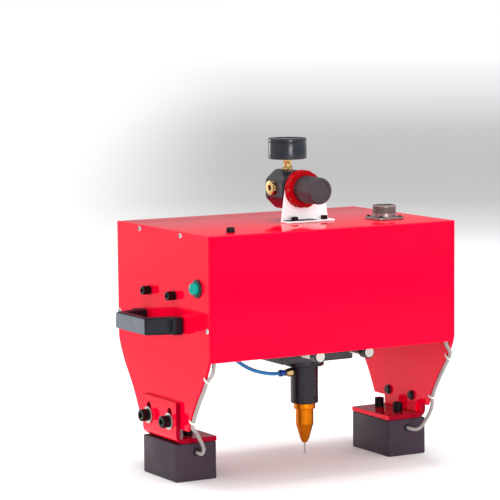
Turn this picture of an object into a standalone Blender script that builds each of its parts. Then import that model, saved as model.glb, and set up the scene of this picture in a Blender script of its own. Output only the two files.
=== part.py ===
"""Nameplate marking machine: a portable pneumatic dot marker that stands on two magnets.

Frame: +X along the length of the housing, -Y towards the user, +Z up, metres.
The origin is on the floor under the middle of the housing.
"""

import math

import bmesh
import bpy
from mathutils import Matrix, Vector

# Fits that every piece shares
FIT_GAP = 0.0003
RUN_GAP = 0.0004
CUT_OVERRUN = 0.002
ROUND_SIDES = 32
MIDDLE_SIDES = 24
SMALL_SIDES = 16
HEX_SIDES = 6
SHARP_ANGLE_DEG = 35.0
QUARTER_TURN = math.pi / 2

# Housing: a folded cover between two end plates
HOUSING_LENGTH = 0.300
HOUSING_DEPTH = 0.205
HOUSING_HEIGHT = 0.130
UNDERSIDE_HEIGHT = 0.133
COVER_SHEET = 0.002
COVER_HEM = 0.008
PLATE_THICKNESS = 0.003

# End plate: each one runs down into a leg
LEG_SHOULDER_RISE = 0.005
LEG_FOOT_HALF = 0.0535
LEG_STEP_HEIGHT = 0.056
LEG_TONGUE_HALF = 0.031
LEG_STEP_FILLET = 0.003
LEG_CURVE_STEPS = 3
BEND_STEPS = 4
# Shares of the way in (from the housing's side to the foot) and of the way down
LEG_CURVE_SHARES = (
    (0.0, 0.0),
    (0.06, 0.10),
    (0.25, 0.305),
    (0.575, 0.56),
    (0.775, 0.745),
    (0.885, 0.865),
    (1.0, 1.0),
)

# Handle: a trapezoid bow on each end plate
HANDLE_DROP = 0.0972
HANDLE_HEIGHT = 0.018
HANDLE_REACH = 0.038
HANDLE_GRIP_HALF = 0.033
HANDLE_ARM_SPREAD = 0.0085
HANDLE_PAD_SPREAD = 0.007
HANDLE_PAD = 0.0125
HANDLE_BAR = 0.009
HANDLE_ROUNDING = 0.002

# Foot: an electromagnet under an angle bracket with two slots
MAGNET_LENGTH = 0.048
MAGNET_DEPTH = 0.076
MAGNET_HEIGHT = 0.040
MAGNET_ROUNDING = 0.0015
MAGNET_GROOVE_WIDTH = 0.005
MAGNET_GROOVE_DEPTH = 0.001
MAGNET_GROOVE_INSET = 0.009
LEAD_HOLE_RADIUS = 0.004
LEAD_HOLE_DEPTH = 0.008
LEAD_HOLE_HEIGHT = 0.0305
BRACKET_THICKNESS = 0.005
BRACKET_HEIGHT = 0.0440
BRACKET_BEND = 0.006
FOOT_TRAVEL = 0.0095
BOLT_SPACING = 0.0468
BOLT_HEIGHT = 0.0632
BOLT_RADIUS = 0.004
BOLT_HEAD_RADIUS = 0.0065
BOLT_HEAD_HEIGHT = 0.008
BOLT_WASHER_RADIUS = 0.009
BOLT_WASHER_THICKNESS = 0.0018
BOLT_SOCKET_RADIUS = 0.003
BOLT_SOCKET_DEPTH = 0.004
BOLT_NUT_RADIUS = 0.0055
BOLT_NUT_THICKNESS = 0.0015
BOLT_END = 0.0035
MAGNET_SCREW_SPACING = 0.0376
MAGNET_SCREW_RADIUS = 0.003
MAGNET_SCREW_HEAD_RADIUS = 0.0052
MAGNET_SCREW_HEAD_HEIGHT = 0.0105
MAGNET_SCREW_DEPTH = 0.012
MAGNET_SCREW_SOCKET_RADIUS = 0.0027
MAGNET_SCREW_SOCKET_DEPTH = 0.003

# Magnet leads: routes chosen by hand, from the wiring in the housing to the hole in the magnet
LEAD_RADIUS = 0.002
LEAD_STEPS = 1
LEFT_LEAD_ROUTE = (
    (-0.1400, -0.0945, 0.1700),
    (-0.1410, -0.0955, 0.1540),
    (-0.1418, -0.0962, 0.1400),
    (-0.1425, -0.0975, 0.1290),
    (-0.1455, -0.1000, 0.1215),
    (-0.1480, -0.0944, 0.1138),
    (-0.1480, -0.0846, 0.1008),
    (-0.1480, -0.0768, 0.0905),
    (-0.1480, -0.0672, 0.0754),
    (-0.1480, -0.0620, 0.0662),
    (-0.1475, -0.0602, 0.0602),
    (-0.1421, -0.0575, 0.0551),
    (-0.1364, -0.0535, 0.0476),
    (-0.1308, -0.0495, 0.0399),
    (-0.1278, -0.0468, 0.0337),
    (-0.1287, -0.0440, 0.0290),
    (-0.1309, -0.0400, 0.0296),
    (-0.1313, -0.0303, 0.0305),
)
RIGHT_LEAD_ROUTE = (
    (0.1400, -0.0945, 0.1700),
    (0.1410, -0.0955, 0.1540),
    (0.1418, -0.0962, 0.1400),
    (0.1425, -0.0975, 0.1290),
    (0.1455, -0.1000, 0.1215),
    (0.1480, -0.0944, 0.1138),
    (0.1480, -0.0846, 0.1008),
    (0.1480, -0.0768, 0.0905),
    (0.1480, -0.0672, 0.0754),
    (0.1480, -0.0625, 0.0662),
    (0.1480, -0.0615, 0.0565),
    (0.1480, -0.0555, 0.0461),
    (0.1470, -0.0490, 0.0375),
    (0.1440, -0.0458, 0.0313),
    (0.1390, -0.0438, 0.0286),
    (0.1335, -0.0410, 0.0294),
    (0.1315, -0.0365, 0.0304),
    (0.1313, -0.0303, 0.0305),
)

# Start button on the left plate
BUTTON_INSET = 0.0235
BUTTON_DROP = 0.0552
BUTTON_BEZEL_RADIUS = 0.0095
BUTTON_BEZEL_HEIGHT = 0.0025
BUTTON_BODY_RADIUS = 0.0078
BUTTON_BODY_LENGTH = 0.025
BUTTON_NUT_RADIUS = 0.0105
BUTTON_NUT_THICKNESS = 0.003
BUTTON_CAP_RADIUS = 0.0062
BUTTON_CAP_OUT = 0.0095
BUTTON_CAP_IN = 0.004
BUTTON_CAP_DOME = 0.0008
BUTTON_TRAVEL = 0.0025

# Two black cap screws on the left plate
PLATE_SCREW_SPACING = 0.056
PLATE_SCREW_DROP = 0.0675
PLATE_SCREW_HEAD_RADIUS = 0.0047
PLATE_SCREW_HEAD_HEIGHT = 0.009
PLATE_SCREW_RADIUS = 0.003
PLATE_SCREW_SOCKET_RADIUS = 0.0025
PLATE_SCREW_SOCKET_DEPTH = 0.004
PLATE_SCREW_NUT_RADIUS = 0.0055
PLATE_SCREW_NUT_THICKNESS = 0.005
PLATE_SCREW_END = 0.0015

# X axis: two rods and a screw from plate to plate
X_ROD_RADIUS = 0.006
X_ROD_INSET = 0.0225
X_ROD_RISE = 0.027
BOSS_WALL = 0.006
BOSS_LENGTH = 0.010
X_SCREW_RISE = 0.063
SCREW_RADIUS = 0.004
SCREW_BOSS_WALL = 0.005
MOTOR_SIDE = 0.028
MOTOR_LENGTH = 0.0335
MOTOR_CHAMFER = 0.004
MOTOR_SPIGOT_RADIUS = 0.011
MOTOR_SPIGOT_HEIGHT = 0.002
MOTOR_CAP_SHARE = 0.22
MOTOR_WAIST = 0.001

# X carriage: a slider on each rod, tied by the two Y rods
HEAD_X = 0.018
HEAD_Y = -0.008
Y_ROD_RADIUS = 0.0053
Y_ROD_SPACING = 0.0605
Y_ROD_DROP = 0.0053
Y_ROD_INSET = 0.0105
SLIDER_HALF_LENGTH = 0.048
SLIDER_DEPTH = 0.024
SLIDER_BELOW_ROD = 0.017
SLIDER_ABOVE_ROD = 0.015
SLIDER_ROUNDING = 0.001
LUG_WALL = 0.0014
LUG_DEPTH = 0.009
LUG_SET_BACK = 0.0016
NUT_LUG_WIDTH = 0.016
NUT_LUG_DEPTH = 0.012
NUT_LUG_WALL = 0.006
Y_SCREW_RISE = 0.032
Y_SCREW_SEAT = 0.005
VALVE_WIDTH = 0.0217
VALVE_DEPTH = 0.0217
VALVE_HEIGHT = 0.033
VALVE_RISE = 0.012
VALVE_COIL_SHARE = 0.55
VALVE_COIL_LENGTH = 0.012
VALVE_FITTING_RADIUS = 0.0045
VALVE_FITTING_LENGTH = 0.0077

# Y carriage and marking head
BLOCK_LEFT = 0.050
BLOCK_RIGHT = 0.039
BLOCK_FRONT = 0.038
BLOCK_BACK = 0.038
BLOCK_BELOW_ROD = 0.0132
BLOCK_ABOVE_ROD = 0.0103
BLOCK_ROUNDING = 0.0015
BLOCK_LUG_BACK = 0.017
FLANGE_RADIUS = 0.0215
FLANGE_THICKNESS = 0.0082
HEAD_RADIUS = 0.0151
HEAD_LENGTH = 0.041
HEAD_CHAMFER = 0.0015
HEAD_BORE_RADIUS = 0.010
HEAD_BORE_DEPTH = 0.035
NOSE_COLLAR_RADIUS = 0.0119
NOSE_COLLAR_LENGTH = 0.0062
NOSE_RADIUS = 0.0097
NOSE_STRAIGHT = 0.0165
NOSE_TAPER = 0.017
NOSE_END_RADIUS = 0.0043
NOSE_POINT = 0.004
NOSE_SPIGOT = 0.007
STYLUS_RADIUS = 0.001
STYLUS_OUT = 0.0127
STYLUS_TIP = 0.0018
STYLUS_TRAVEL = 0.006
PISTON_LENGTH = 0.010
HEAD_FITTING_DROP = 0.015
HEAD_FITTING_RADIUS = 0.0048
HEAD_FITTING_LENGTH = 0.0084
HEAD_FITTING_THREAD_RADIUS = 0.0026
HEAD_FITTING_THREAD_LENGTH = 0.003
COLLET_RADIUS = 0.0038
COLLET_LIP = 0.0008
COLLET_LENGTH = 0.0072
TUBE_RADIUS = 0.002
TUBE_STEPS = 2
HEAD_TUBE_ROUTE = (
    (-0.0136, -0.0080, 0.0992),
    (-0.0204, -0.0080, 0.0993),
    (-0.0300, -0.0080, 0.1008),
    (-0.0440, -0.0080, 0.1048),
    (-0.0563, -0.0080, 0.1110),
    (-0.0665, -0.0085, 0.1185),
    (-0.0740, -0.0110, 0.1290),
    (-0.0765, -0.0170, 0.1420),
    (-0.0735, -0.0260, 0.1540),
    (-0.0680, -0.0360, 0.1615),
    (-0.0610, -0.0460, 0.1645),
    (-0.0530, -0.0530, 0.1640),
    (-0.0450, -0.0562, 0.1620),
    (-0.0383, -0.0569, 0.1615),
)

# Pressure regulator on its bracket, on the cover
REGULATOR_X = 0.0068
REGULATOR_RISE = 0.0355
REGULATOR_WIDTH = 0.039
REGULATOR_DEPTH = 0.040
REGULATOR_HEIGHT = 0.038
REGULATOR_FOOT = 0.0045
REGULATOR_SIDE_FLAT = 0.020
REGULATOR_SIDE_DROP = 0.0015
REGULATOR_TOP_FLAT = 0.0135
REGULATOR_EDGE = 0.0025
REGULATOR_SHOULDER_RADIUS = 0.017
REGULATOR_SHOULDER = 0.001
REGULATOR_NECK_RADIUS = 0.014
REGULATOR_NECK = 0.0119
REGULATOR_PORT_RADIUS = 0.005
REGULATOR_PORT_DEPTH = 0.006
REGULATOR_CAP_RADIUS = 0.0065
REGULATOR_CAP_HEIGHT = 0.002
PORT_SET_BACK = 0.004
PANEL_OFFSET = 0.0052
PANEL_WIDTH = 0.0584
PANEL_SHOULDER_RISE = 0.020
PANEL_SHOULDER_IN = 0.0032
PANEL_TOP_RADIUS = 0.0185
PANEL_THICKNESS = 0.002
PANEL_FRONT_Y = -0.022
PANEL_BASE_WIDTH = 0.059
PANEL_BASE_DEPTH = 0.014
PANEL_SCREW_SPACING = 0.0365
PANEL_SCREW_SET_BACK = 0.0092
PANEL_SCREW_RADIUS = 0.002
PANEL_SCREW_HEAD_RADIUS = 0.0037
PANEL_SCREW_HEAD_HEIGHT = 0.004
PANEL_SCREW_SOCKET_RADIUS = 0.0015
PANEL_SCREW_SOCKET_DEPTH = 0.002
PANEL_SCREW_LENGTH = 0.010
RING_RADIUS = 0.0203
RING_THICKNESS = 0.009
RING_CHAMFER = 0.001
RING_NOTCHES = 6
RING_NOTCH_RADIUS = 0.0016
KNOB_RADIUS = 0.0145
KNOB_GROOVE_DEPTH = 0.0007
KNOB_RIBS = 14
KNOB_LENGTH = 0.0298
KNOB_SKIRT = 0.004
KNOB_CHAMFER = 0.0015
KNOB_DISH_RADIUS = 0.0105
KNOB_DISH_DEPTH = 0.0008
KNOB_BORE_DEPTH = 0.026
SPINDLE_RADIUS = 0.005
SPINDLE_FLANGE_RADIUS = 0.009
SPINDLE_FLANGE = 0.0015
SPINDLE_LENGTH = 0.022
INLET_RADIUS = 0.0085
INLET_LENGTH = 0.003
INLET_BORE = 0.003
GAUGE_STEM_RADIUS = 0.0052
GAUGE_STEM_FLANGE_RADIUS = 0.0065
GAUGE_STEM_FLANGE = 0.002
GAUGE_STEM_LENGTH = 0.0109
GAUGE_RADIUS = 0.0207
GAUGE_HEIGHT = 0.0222
GAUGE_WALL = 0.0014
GAUGE_RIM = 0.0013
GAUGE_EDGE = 0.0008
GAUGE_DIAL_DEPTH = 0.006
GAUGE_LENS_SEAT = 0.0024
GAUGE_LENS = 0.0016
POINTER_HUB_RADIUS = 0.0022
POINTER_HUB = 0.0012
POINTER_THICKNESS = 0.0006
POINTER_LENGTH = 0.0135
POINTER_TAIL = 0.005
POINTER_WIDTH = 0.0014
POINTER_REST_DEG = -135.0

# Sockets on the cover
CONNECTOR_INSET_X = 0.053
CONNECTOR_INSET_Y = 0.0565
CONNECTOR_FLANGE_SIDE = 0.033
CONNECTOR_FLANGE = 0.0025
CONNECTOR_CORNER = 0.005
CONNECTOR_RADIUS = 0.0128
CONNECTOR_HEIGHT = 0.015
CONNECTOR_CHAMFER = 0.0015
CONNECTOR_SOCKET_RADIUS = 0.0095
CONNECTOR_SOCKET_DEPTH = 0.009
CONNECTOR_REAR_RADIUS = 0.011
CONNECTOR_REAR = 0.010
INSERT_HEIGHT = 0.004
INSERT_PINS = 7
INSERT_PIN_RADIUS = 0.0008
INSERT_PIN_HEIGHT = 0.003
INSERT_PIN_CIRCLE = 0.006
BULKHEAD_INSET_X = 0.0395
BULKHEAD_INSET_Y = 0.0245
BULKHEAD_RADIUS = 0.005
BULKHEAD_HEIGHT = 0.005
BULKHEAD_BORE = 0.002
BULKHEAD_BORE_DEPTH = 0.004
BULKHEAD_THREAD_RADIUS = 0.003
BULKHEAD_THREAD = 0.008

# Places that follow from the sizes above
HALF_LENGTH = HOUSING_LENGTH / 2
HALF_DEPTH = HOUSING_DEPTH / 2
TOP_HEIGHT = UNDERSIDE_HEIGHT + HOUSING_HEIGHT
INNER_END = HALF_LENGTH - PLATE_THICKNESS
X_ROD_Y = HALF_DEPTH - X_ROD_INSET
X_ROD_HEIGHT = UNDERSIDE_HEIGHT + X_ROD_RISE
X_SCREW_HEIGHT = UNDERSIDE_HEIGHT + X_SCREW_RISE
Y_ROD_HEIGHT = UNDERSIDE_HEIGHT - Y_ROD_DROP
Y_ROD_END = HALF_DEPTH - Y_ROD_INSET
Y_SCREW_HEIGHT = UNDERSIDE_HEIGHT + Y_SCREW_RISE
SLIDER_OUTER = X_ROD_Y + SLIDER_DEPTH / 2
SLIDER_INNER = X_ROD_Y - SLIDER_DEPTH / 2
SLIDER_BOTTOM = X_ROD_HEIGHT - SLIDER_BELOW_ROD
SLIDER_TOP = X_ROD_HEIGHT + SLIDER_ABOVE_ROD
BLOCK_BOTTOM = Y_ROD_HEIGHT - BLOCK_BELOW_ROD
BLOCK_TOP = Y_ROD_HEIGHT + BLOCK_ABOVE_ROD
HEAD_TOP = BLOCK_BOTTOM - FIT_GAP
CYLINDER_TOP = HEAD_TOP - FLANGE_THICKNESS
HEAD_BOTTOM = CYLINDER_TOP - HEAD_LENGTH
NOSE_TOP = HEAD_BOTTOM - FIT_GAP
FLANGE_INNER = HALF_LENGTH + FIT_GAP
FLANGE_OUTER = FLANGE_INNER + BRACKET_THICKNESS
MAGNET_X = FLANGE_OUTER - MAGNET_LENGTH / 2
SHELF_BOTTOM = MAGNET_HEIGHT + FIT_GAP
SHELF_TOP = SHELF_BOTTOM + BRACKET_THICKNESS
PANEL_BASE_BOTTOM = TOP_HEIGHT + FIT_GAP
PANEL_BASE_TOP = PANEL_BASE_BOTTOM + PANEL_THICKNESS
PANEL_X = REGULATOR_X + PANEL_OFFSET
PANEL_BACK_Y = PANEL_FRONT_Y + PANEL_THICKNESS
REGULATOR_FRONT = PANEL_BACK_Y + FIT_GAP + REGULATOR_SHOULDER
REGULATOR_Y = REGULATOR_FRONT + REGULATOR_DEPTH / 2
PORT_Y = REGULATOR_Y + PORT_SET_BACK
REGULATOR_HEIGHT_AT = TOP_HEIGHT + REGULATOR_RISE
REGULATOR_TOP = REGULATOR_HEIGHT_AT + REGULATOR_HEIGHT / 2
NECK_END = REGULATOR_FRONT - REGULATOR_SHOULDER - REGULATOR_NECK
GAUGE_STEM_BOTTOM = REGULATOR_TOP + FIT_GAP
GAUGE_BOTTOM = GAUGE_STEM_BOTTOM + GAUGE_STEM_LENGTH + FIT_GAP
BUTTON_Y = -HALF_DEPTH + BUTTON_INSET
BUTTON_HEIGHT = TOP_HEIGHT - BUTTON_DROP
PLATE_SCREW_HEIGHT = TOP_HEIGHT - PLATE_SCREW_DROP
CONNECTOR_X = HALF_LENGTH - CONNECTOR_INSET_X
CONNECTOR_Y = -HALF_DEPTH + CONNECTOR_INSET_Y
BULKHEAD_X = -HALF_LENGTH + BULKHEAD_INSET_X
BULKHEAD_Y = -HALF_DEPTH + BULKHEAD_INSET_Y


def clear_scene():
    for old in list(bpy.data.objects):
        bpy.data.objects.remove(old, do_unlink=True)


def material(name, colour, roughness, metallic):
    made = bpy.data.materials.new(name)
    made.use_nodes = True
    shader = made.node_tree.nodes["Principled BSDF"]
    shader.inputs["Base Color"].default_value = (*colour, 1.0)
    shader.inputs["Roughness"].default_value = roughness
    shader.inputs["Metallic"].default_value = metallic
    return made


def add_object(name, mesh, look):
    mesh.materials.append(look)
    made = bpy.data.objects.new(name, mesh)
    bpy.context.scene.collection.objects.link(made)
    return made


def from_bmesh(name, work, look, smooth=False):
    bmesh.ops.recalc_face_normals(work, faces=work.faces)
    mesh = bpy.data.meshes.new(name)
    work.to_mesh(mesh)
    work.free()
    if smooth:
        mesh.shade_smooth()
        mesh.set_sharp_from_angle(angle=math.radians(SHARP_ANGLE_DEG))
    return add_object(name, mesh, look)


def block(name, low, high, look):
    """A box between two corners, given in world coordinates."""
    work = bmesh.new()
    bmesh.ops.create_cube(work, size=1)
    low, high = Vector(low), Vector(high)
    spread = Matrix.Diagonal((*(high - low), 1))
    bmesh.ops.transform(work, matrix=Matrix.Translation((low + high) / 2) @ spread, verts=work.verts)
    return from_bmesh(name, work, look)


def prism(name, outline, axis, start, end, look, smooth=False):
    """An outline extruded along a world axis; its points leave that axis out."""
    order = {
        "X": lambda u, v: (start, u, v),
        "Y": lambda u, v: (u, start, v),
        "Z": lambda u, v: (u, v, start),
    }
    work = bmesh.new()
    corners = [work.verts.new(order[axis](u, v)) for u, v in outline]
    base = work.faces.new(corners)
    grown = bmesh.ops.extrude_face_region(work, geom=[base])
    moved = [item for item in grown["geom"] if isinstance(item, bmesh.types.BMVert)]
    step = Vector([float(axis == letter) for letter in "XYZ"]) * (end - start)
    bmesh.ops.translate(work, vec=step, verts=moved)
    return from_bmesh(name, work, look, smooth)


def turned(name, profile, look, sides=ROUND_SIDES, turn=0.0):
    """A profile of (radius, height) turned about local Z, open to the axis or a closed ring."""
    work = bmesh.new()
    rings = []
    for radius, height in profile:
        if radius == 0:
            rings.append([work.verts.new((0, 0, height))])
            continue
        ring = []
        for step in range(sides):
            angle = turn + 2 * math.pi * step / sides
            ring.append(work.verts.new((radius * math.cos(angle), radius * math.sin(angle), height)))
        rings.append(ring)
    pairs = list(zip(rings, rings[1:]))
    if profile[0][0] > 0:
        pairs.append((rings[-1], rings[0]))
    for first, second in pairs:
        for step in range(sides):
            after = (step + 1) % sides
            corners = [first[step % len(first)], first[after % len(first)]]
            corners += [second[after % len(second)], second[step % len(second)]]
            unique = list(dict.fromkeys(corners))
            if len(unique) > 2:
                work.faces.new(unique)
    return from_bmesh(name, work, look, smooth=True)


def cylinder(name, radius, start, end, look, sides=SMALL_SIDES):
    return turned(name, ((0, start), (radius, start), (radius, end), (0, end)), look, sides)


def aim(made, axis, place):
    """Turns a local Z shape along a world axis and puts it in place."""
    turns = {
        "Z": (0, 0, 0),
        "X": (0, QUARTER_TURN, 0),
        "-X": (0, -QUARTER_TURN, 0),
        "Y": (-QUARTER_TURN, 0, 0),
        "-Y": (QUARTER_TURN, 0, 0),
    }
    made.rotation_euler = turns[axis]
    made.location = place
    return made


def guide(made):
    made.hide_render = True
    made.display_type = "WIRE"
    return made


def boolean(made, operation, tools):
    for tool in tools:
        change = made.modifiers.new(operation.lower(), "BOOLEAN")
        change.operation = operation
        change.solver = "EXACT"
        change.object = guide(tool)
    return made


def cut(made, *tools):
    return boolean(made, "DIFFERENCE", tools)


def unite(made, *tools):
    return boolean(made, "UNION", tools)


def soften(made, width, segments=1):
    change = made.modifiers.new("soften", "BEVEL")
    change.width = width
    change.segments = segments
    change.limit_method = "ANGLE"
    return made


def smooth_route(points, steps):
    """Points along a smooth curve through the given points, Catmull-Rom."""
    places = [Vector(point) for point in points]
    padded = [places[0] * 2 - places[1], *places, places[-1] * 2 - places[-2]]
    found = []
    for before, here, after, beyond in zip(padded, padded[1:], padded[2:], padded[3:]):
        for step in range(steps):
            t = step / steps
            found.append(
                (here * 2 + (after - before) * t
                 + (before * 2 - here * 5 + after * 4 - beyond) * t ** 2
                 + (here * 3 - before - after * 3 + beyond) * t ** 3) / 2
            )
    found.append(places[-1])
    return found


def cord(name, points, radius, look):
    curve = bpy.data.curves.new(name, "CURVE")
    curve.dimensions = "3D"
    curve.bevel_depth = radius
    curve.bevel_resolution = 2
    curve.use_fill_caps = True
    spline = curve.splines.new("POLY")
    spline.points.add(len(points) - 1)
    for place, point in zip(spline.points, points):
        place.co = (*point, 1)
    return add_object(name, curve, look)


def assembly(name, pivot, parent=None):
    """An empty on a joint's axis, which carries the pieces that move together."""
    made = bpy.data.objects.new(name, None)
    made.location = pivot
    bpy.context.scene.collection.objects.link(made)
    if parent:
        attach(parent, made)
    return made


def attach(carrier, *pieces):
    bpy.context.view_layer.update()
    for piece in pieces:
        piece.parent = carrier
        piece.matrix_parent_inverse = carrier.matrix_world.inverted()


def make_looks():
    return {
        "red": material("red_paint", (0.78, 0.01, 0.05), 0.18, 0.0),
        "black": material("black_plastic", (0.02, 0.02, 0.024), 0.4, 0.0),
        "anodised": material("black_anodised", (0.045, 0.04, 0.05), 0.35, 0.6),
        "magnet": material("magnet_grey", (0.11, 0.09, 0.11), 0.6, 0.2),
        "steel": material("bright_steel", (0.72, 0.72, 0.70), 0.22, 1.0),
        "oxide": material("black_oxide", (0.03, 0.03, 0.03), 0.35, 0.8),
        "brass": material("brass", (0.78, 0.58, 0.25), 0.25, 1.0),
        "gold": material("gold_anodised", (0.85, 0.42, 0.04), 0.28, 0.9),
        "white": material("white_paint", (0.88, 0.88, 0.88), 0.3, 0.0),
        "lead": material("grey_cable", (0.42, 0.40, 0.40), 0.5, 0.0),
        "blue": material("blue_tube", (0.02, 0.22, 0.60), 0.35, 0.0),
        "green": material("green_cap", (0.03, 0.45, 0.20), 0.35, 0.0),
        "glass": material("clear_lens", (0.9, 0.92, 0.92), 0.05, 0.0),
        "socket": material("socket_metal", (0.40, 0.34, 0.32), 0.35, 0.9),
        "aluminium": material("aluminium", (0.62, 0.62, 0.63), 0.4, 0.9),
    }


def make_cover(looks):
    """One folded sheet: front, top and back, with a narrow hem behind each end plate."""
    end = INNER_END - FIT_GAP
    shell = block(
        "cover_shell", (-end, -HALF_DEPTH, UNDERSIDE_HEIGHT), (end, HALF_DEPTH, TOP_HEIGHT), looks["red"]
    )
    under = UNDERSIDE_HEIGHT - CUT_OVERRUN
    side = HALF_DEPTH - COVER_SHEET
    hem_side = HALF_DEPTH - COVER_HEM
    cavity = block(
        "cover_cavity",
        (-end + COVER_SHEET, -side, under),
        (end - COVER_SHEET, side, TOP_HEIGHT - COVER_SHEET),
        looks["red"],
    )
    window = block(
        "cover_window",
        (-end - CUT_OVERRUN, -hem_side, under),
        (end + CUT_OVERRUN, hem_side, TOP_HEIGHT - COVER_HEM),
        looks["red"],
    )
    low, high = TOP_HEIGHT - COVER_SHEET - CUT_OVERRUN, TOP_HEIGHT + CUT_OVERRUN
    holes = [cylinder("cover_hole", CONNECTOR_REAR_RADIUS + FIT_GAP, low, high, looks["red"], MIDDLE_SIDES)]
    holes[0].location = (CONNECTOR_X, CONNECTOR_Y, 0)
    air_hole = cylinder("cover_hole", BULKHEAD_THREAD_RADIUS + FIT_GAP, low, high, looks["red"])
    air_hole.location = (BULKHEAD_X, BULKHEAD_Y, 0)
    holes.append(air_hole)
    for place in panel_screw_places():
        hole = cylinder("cover_hole", PANEL_SCREW_RADIUS + FIT_GAP, low, high, looks["red"])
        hole.location = place
        holes.append(hole)
    return cut(shell, cavity, window, *holes)


def fillet(corner, before, after, radius, steps):
    """Arc points that round a right-angled corner of an outline."""
    corner = Vector(corner)
    toward = (Vector(before) - corner).normalized() * radius
    onward = (Vector(after) - corner).normalized() * radius
    centre = corner + toward + onward
    found = []
    for step in range(steps + 1):
        angle = QUARTER_TURN * step / steps
        found.append(tuple(centre - onward * math.cos(angle) - toward * math.sin(angle)))
    return found


def leg_outline():
    """The end plate's outline: square housing end, curved legs, and a stepped tongue at the foot."""
    shoulder = UNDERSIDE_HEIGHT + LEG_SHOULDER_RISE
    inward = HALF_DEPTH - LEG_FOOT_HALF
    downward = shoulder - LEG_STEP_HEIGHT
    controls = [
        (HALF_DEPTH - inward * across, shoulder - downward * down, 0) for across, down in LEG_CURVE_SHARES
    ]
    side = [(HALF_DEPTH, TOP_HEIGHT)]
    side += [(point.x, point.y) for point in smooth_route(controls, LEG_CURVE_STEPS)]
    step_corner = (LEG_TONGUE_HALF, LEG_STEP_HEIGHT)
    tongue_end = SHELF_TOP + FIT_GAP
    side += fillet(step_corner, side[-1], (LEG_TONGUE_HALF, tongue_end), LEG_STEP_FILLET, LEG_CURVE_STEPS)
    side.append((LEG_TONGUE_HALF, tongue_end))
    return side + [(-across, height) for across, height in reversed(side)]


def make_end_plate(side_name, sign, looks):
    """A thick plate with the rod bosses on its inner face and the holes for the foot's bolts."""
    inner, outer = sign * INNER_END, sign * HALF_LENGTH
    plate = prism(side_name + "_end_plate", leg_outline(), "X", inner, outer, looks["red"])
    inward = "-X" if sign > 0 else "X"
    bosses, cuts = [], []
    seats = [(place_y, X_ROD_HEIGHT, X_ROD_RADIUS, BOSS_WALL) for place_y in (-X_ROD_Y, X_ROD_Y)]
    if sign < 0:
        seats.append((X_ROD_Y, X_SCREW_HEIGHT, SCREW_RADIUS, SCREW_BOSS_WALL))
    for across, height, radius, wall in seats:
        place = (inner, across, height)
        boss_start = -PLATE_THICKNESS / 2
        boss = cylinder("plate_boss", radius + wall, boss_start, BOSS_LENGTH, looks["red"], MIDDLE_SIDES)
        bosses.append(aim(boss, inward, place))
        bore = cylinder("plate_bore", radius + FIT_GAP, 0, BOSS_LENGTH + CUT_OVERRUN, looks["red"])
        cuts.append(aim(bore, inward, place))
    thick = PLATE_THICKNESS + CUT_OVERRUN
    for across in (-BOLT_SPACING / 2, BOLT_SPACING / 2):
        hole = cylinder("plate_hole", BOLT_RADIUS + RUN_GAP, -thick, thick, looks["red"])
        cuts.append(aim(hole, "X", (sign * HALF_LENGTH, across, BOLT_HEIGHT)))
    if sign < 0:
        hole_radius = BUTTON_BODY_RADIUS + FIT_GAP
        button_hole = cylinder("plate_hole", hole_radius, -thick, thick, looks["red"], MIDDLE_SIDES)
        cuts.append(aim(button_hole, "X", (outer, BUTTON_Y, BUTTON_HEIGHT)))
        for across in (-PLATE_SCREW_SPACING / 2, PLATE_SCREW_SPACING / 2):
            hole = cylinder("plate_hole", PLATE_SCREW_RADIUS + FIT_GAP, -thick, thick, looks["red"])
            cuts.append(aim(hole, "X", (outer, across, PLATE_SCREW_HEIGHT)))
    unite(plate, *bosses)
    return cut(plate, *cuts)


def make_handle(side_name, sign, looks):
    """A moulded bow: a straight grip bar on two leaning arms, each with a pad on the plate."""
    arm = HANDLE_GRIP_HALF + HANDLE_ARM_SPREAD
    pad = arm + HANDLE_PAD_SPREAD
    inner_bar = HANDLE_REACH - HANDLE_BAR
    half = [
        (0, pad),
        (HANDLE_PAD, pad),
        (HANDLE_PAD, arm),
        (HANDLE_REACH, HANDLE_GRIP_HALF),
    ]
    inner = [(inner_bar, HANDLE_GRIP_HALF - HANDLE_BAR), (0, arm - HANDLE_BAR)]
    outline = half + [(out, -across) for out, across in reversed(half)]
    outline += [(out, -across) for out, across in reversed(inner)] + inner
    start = HALF_LENGTH + FIT_GAP
    placed = [(sign * (start + out), across) for out, across in outline]
    low = TOP_HEIGHT - HANDLE_DROP - HANDLE_HEIGHT / 2
    bow = prism(side_name + "_handle", placed, "Z", low, low + HANDLE_HEIGHT, looks["black"], smooth=True)
    return soften(bow, HANDLE_ROUNDING, 2)


def cap_screw(name, look, head, socket, shank, washer=None, nut=None):
    """A socket screw along local Z, its head's seat at zero; each pair is a radius and a length."""
    (head_radius, head_height), (socket_radius, socket_depth), (shank_radius, length) = head, socket, shank
    washer_radius, washer_thickness = washer or (head_radius, 0)
    top = washer_thickness + head_height
    profile = [(0, top), (head_radius, top)]
    if washer:
        profile += [(head_radius, washer_thickness), (washer_radius, washer_thickness)]
    profile += [(washer_radius, 0), (shank_radius, 0), (shank_radius, -length), (0, -length)]
    screw = turned(name, profile, look, SMALL_SIDES)
    floor = top - socket_depth
    recess = cylinder(name + "_socket", socket_radius, floor, top + CUT_OVERRUN, look, HEX_SIDES)
    tools = [recess]
    if nut:
        nut_radius, nut_start, nut_end, nut_sides = nut
        hexagon = cylinder(name + "_nut", nut_radius, -nut_end, -nut_start, look, nut_sides)
        unite(screw, hexagon)
        tools.append(hexagon)
    cut(screw, recess)
    return screw, tools


def place_screw(made, axis, place):
    screw, tools = made
    for piece in (screw, *tools):
        aim(piece, axis, place)
    return screw


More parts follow.
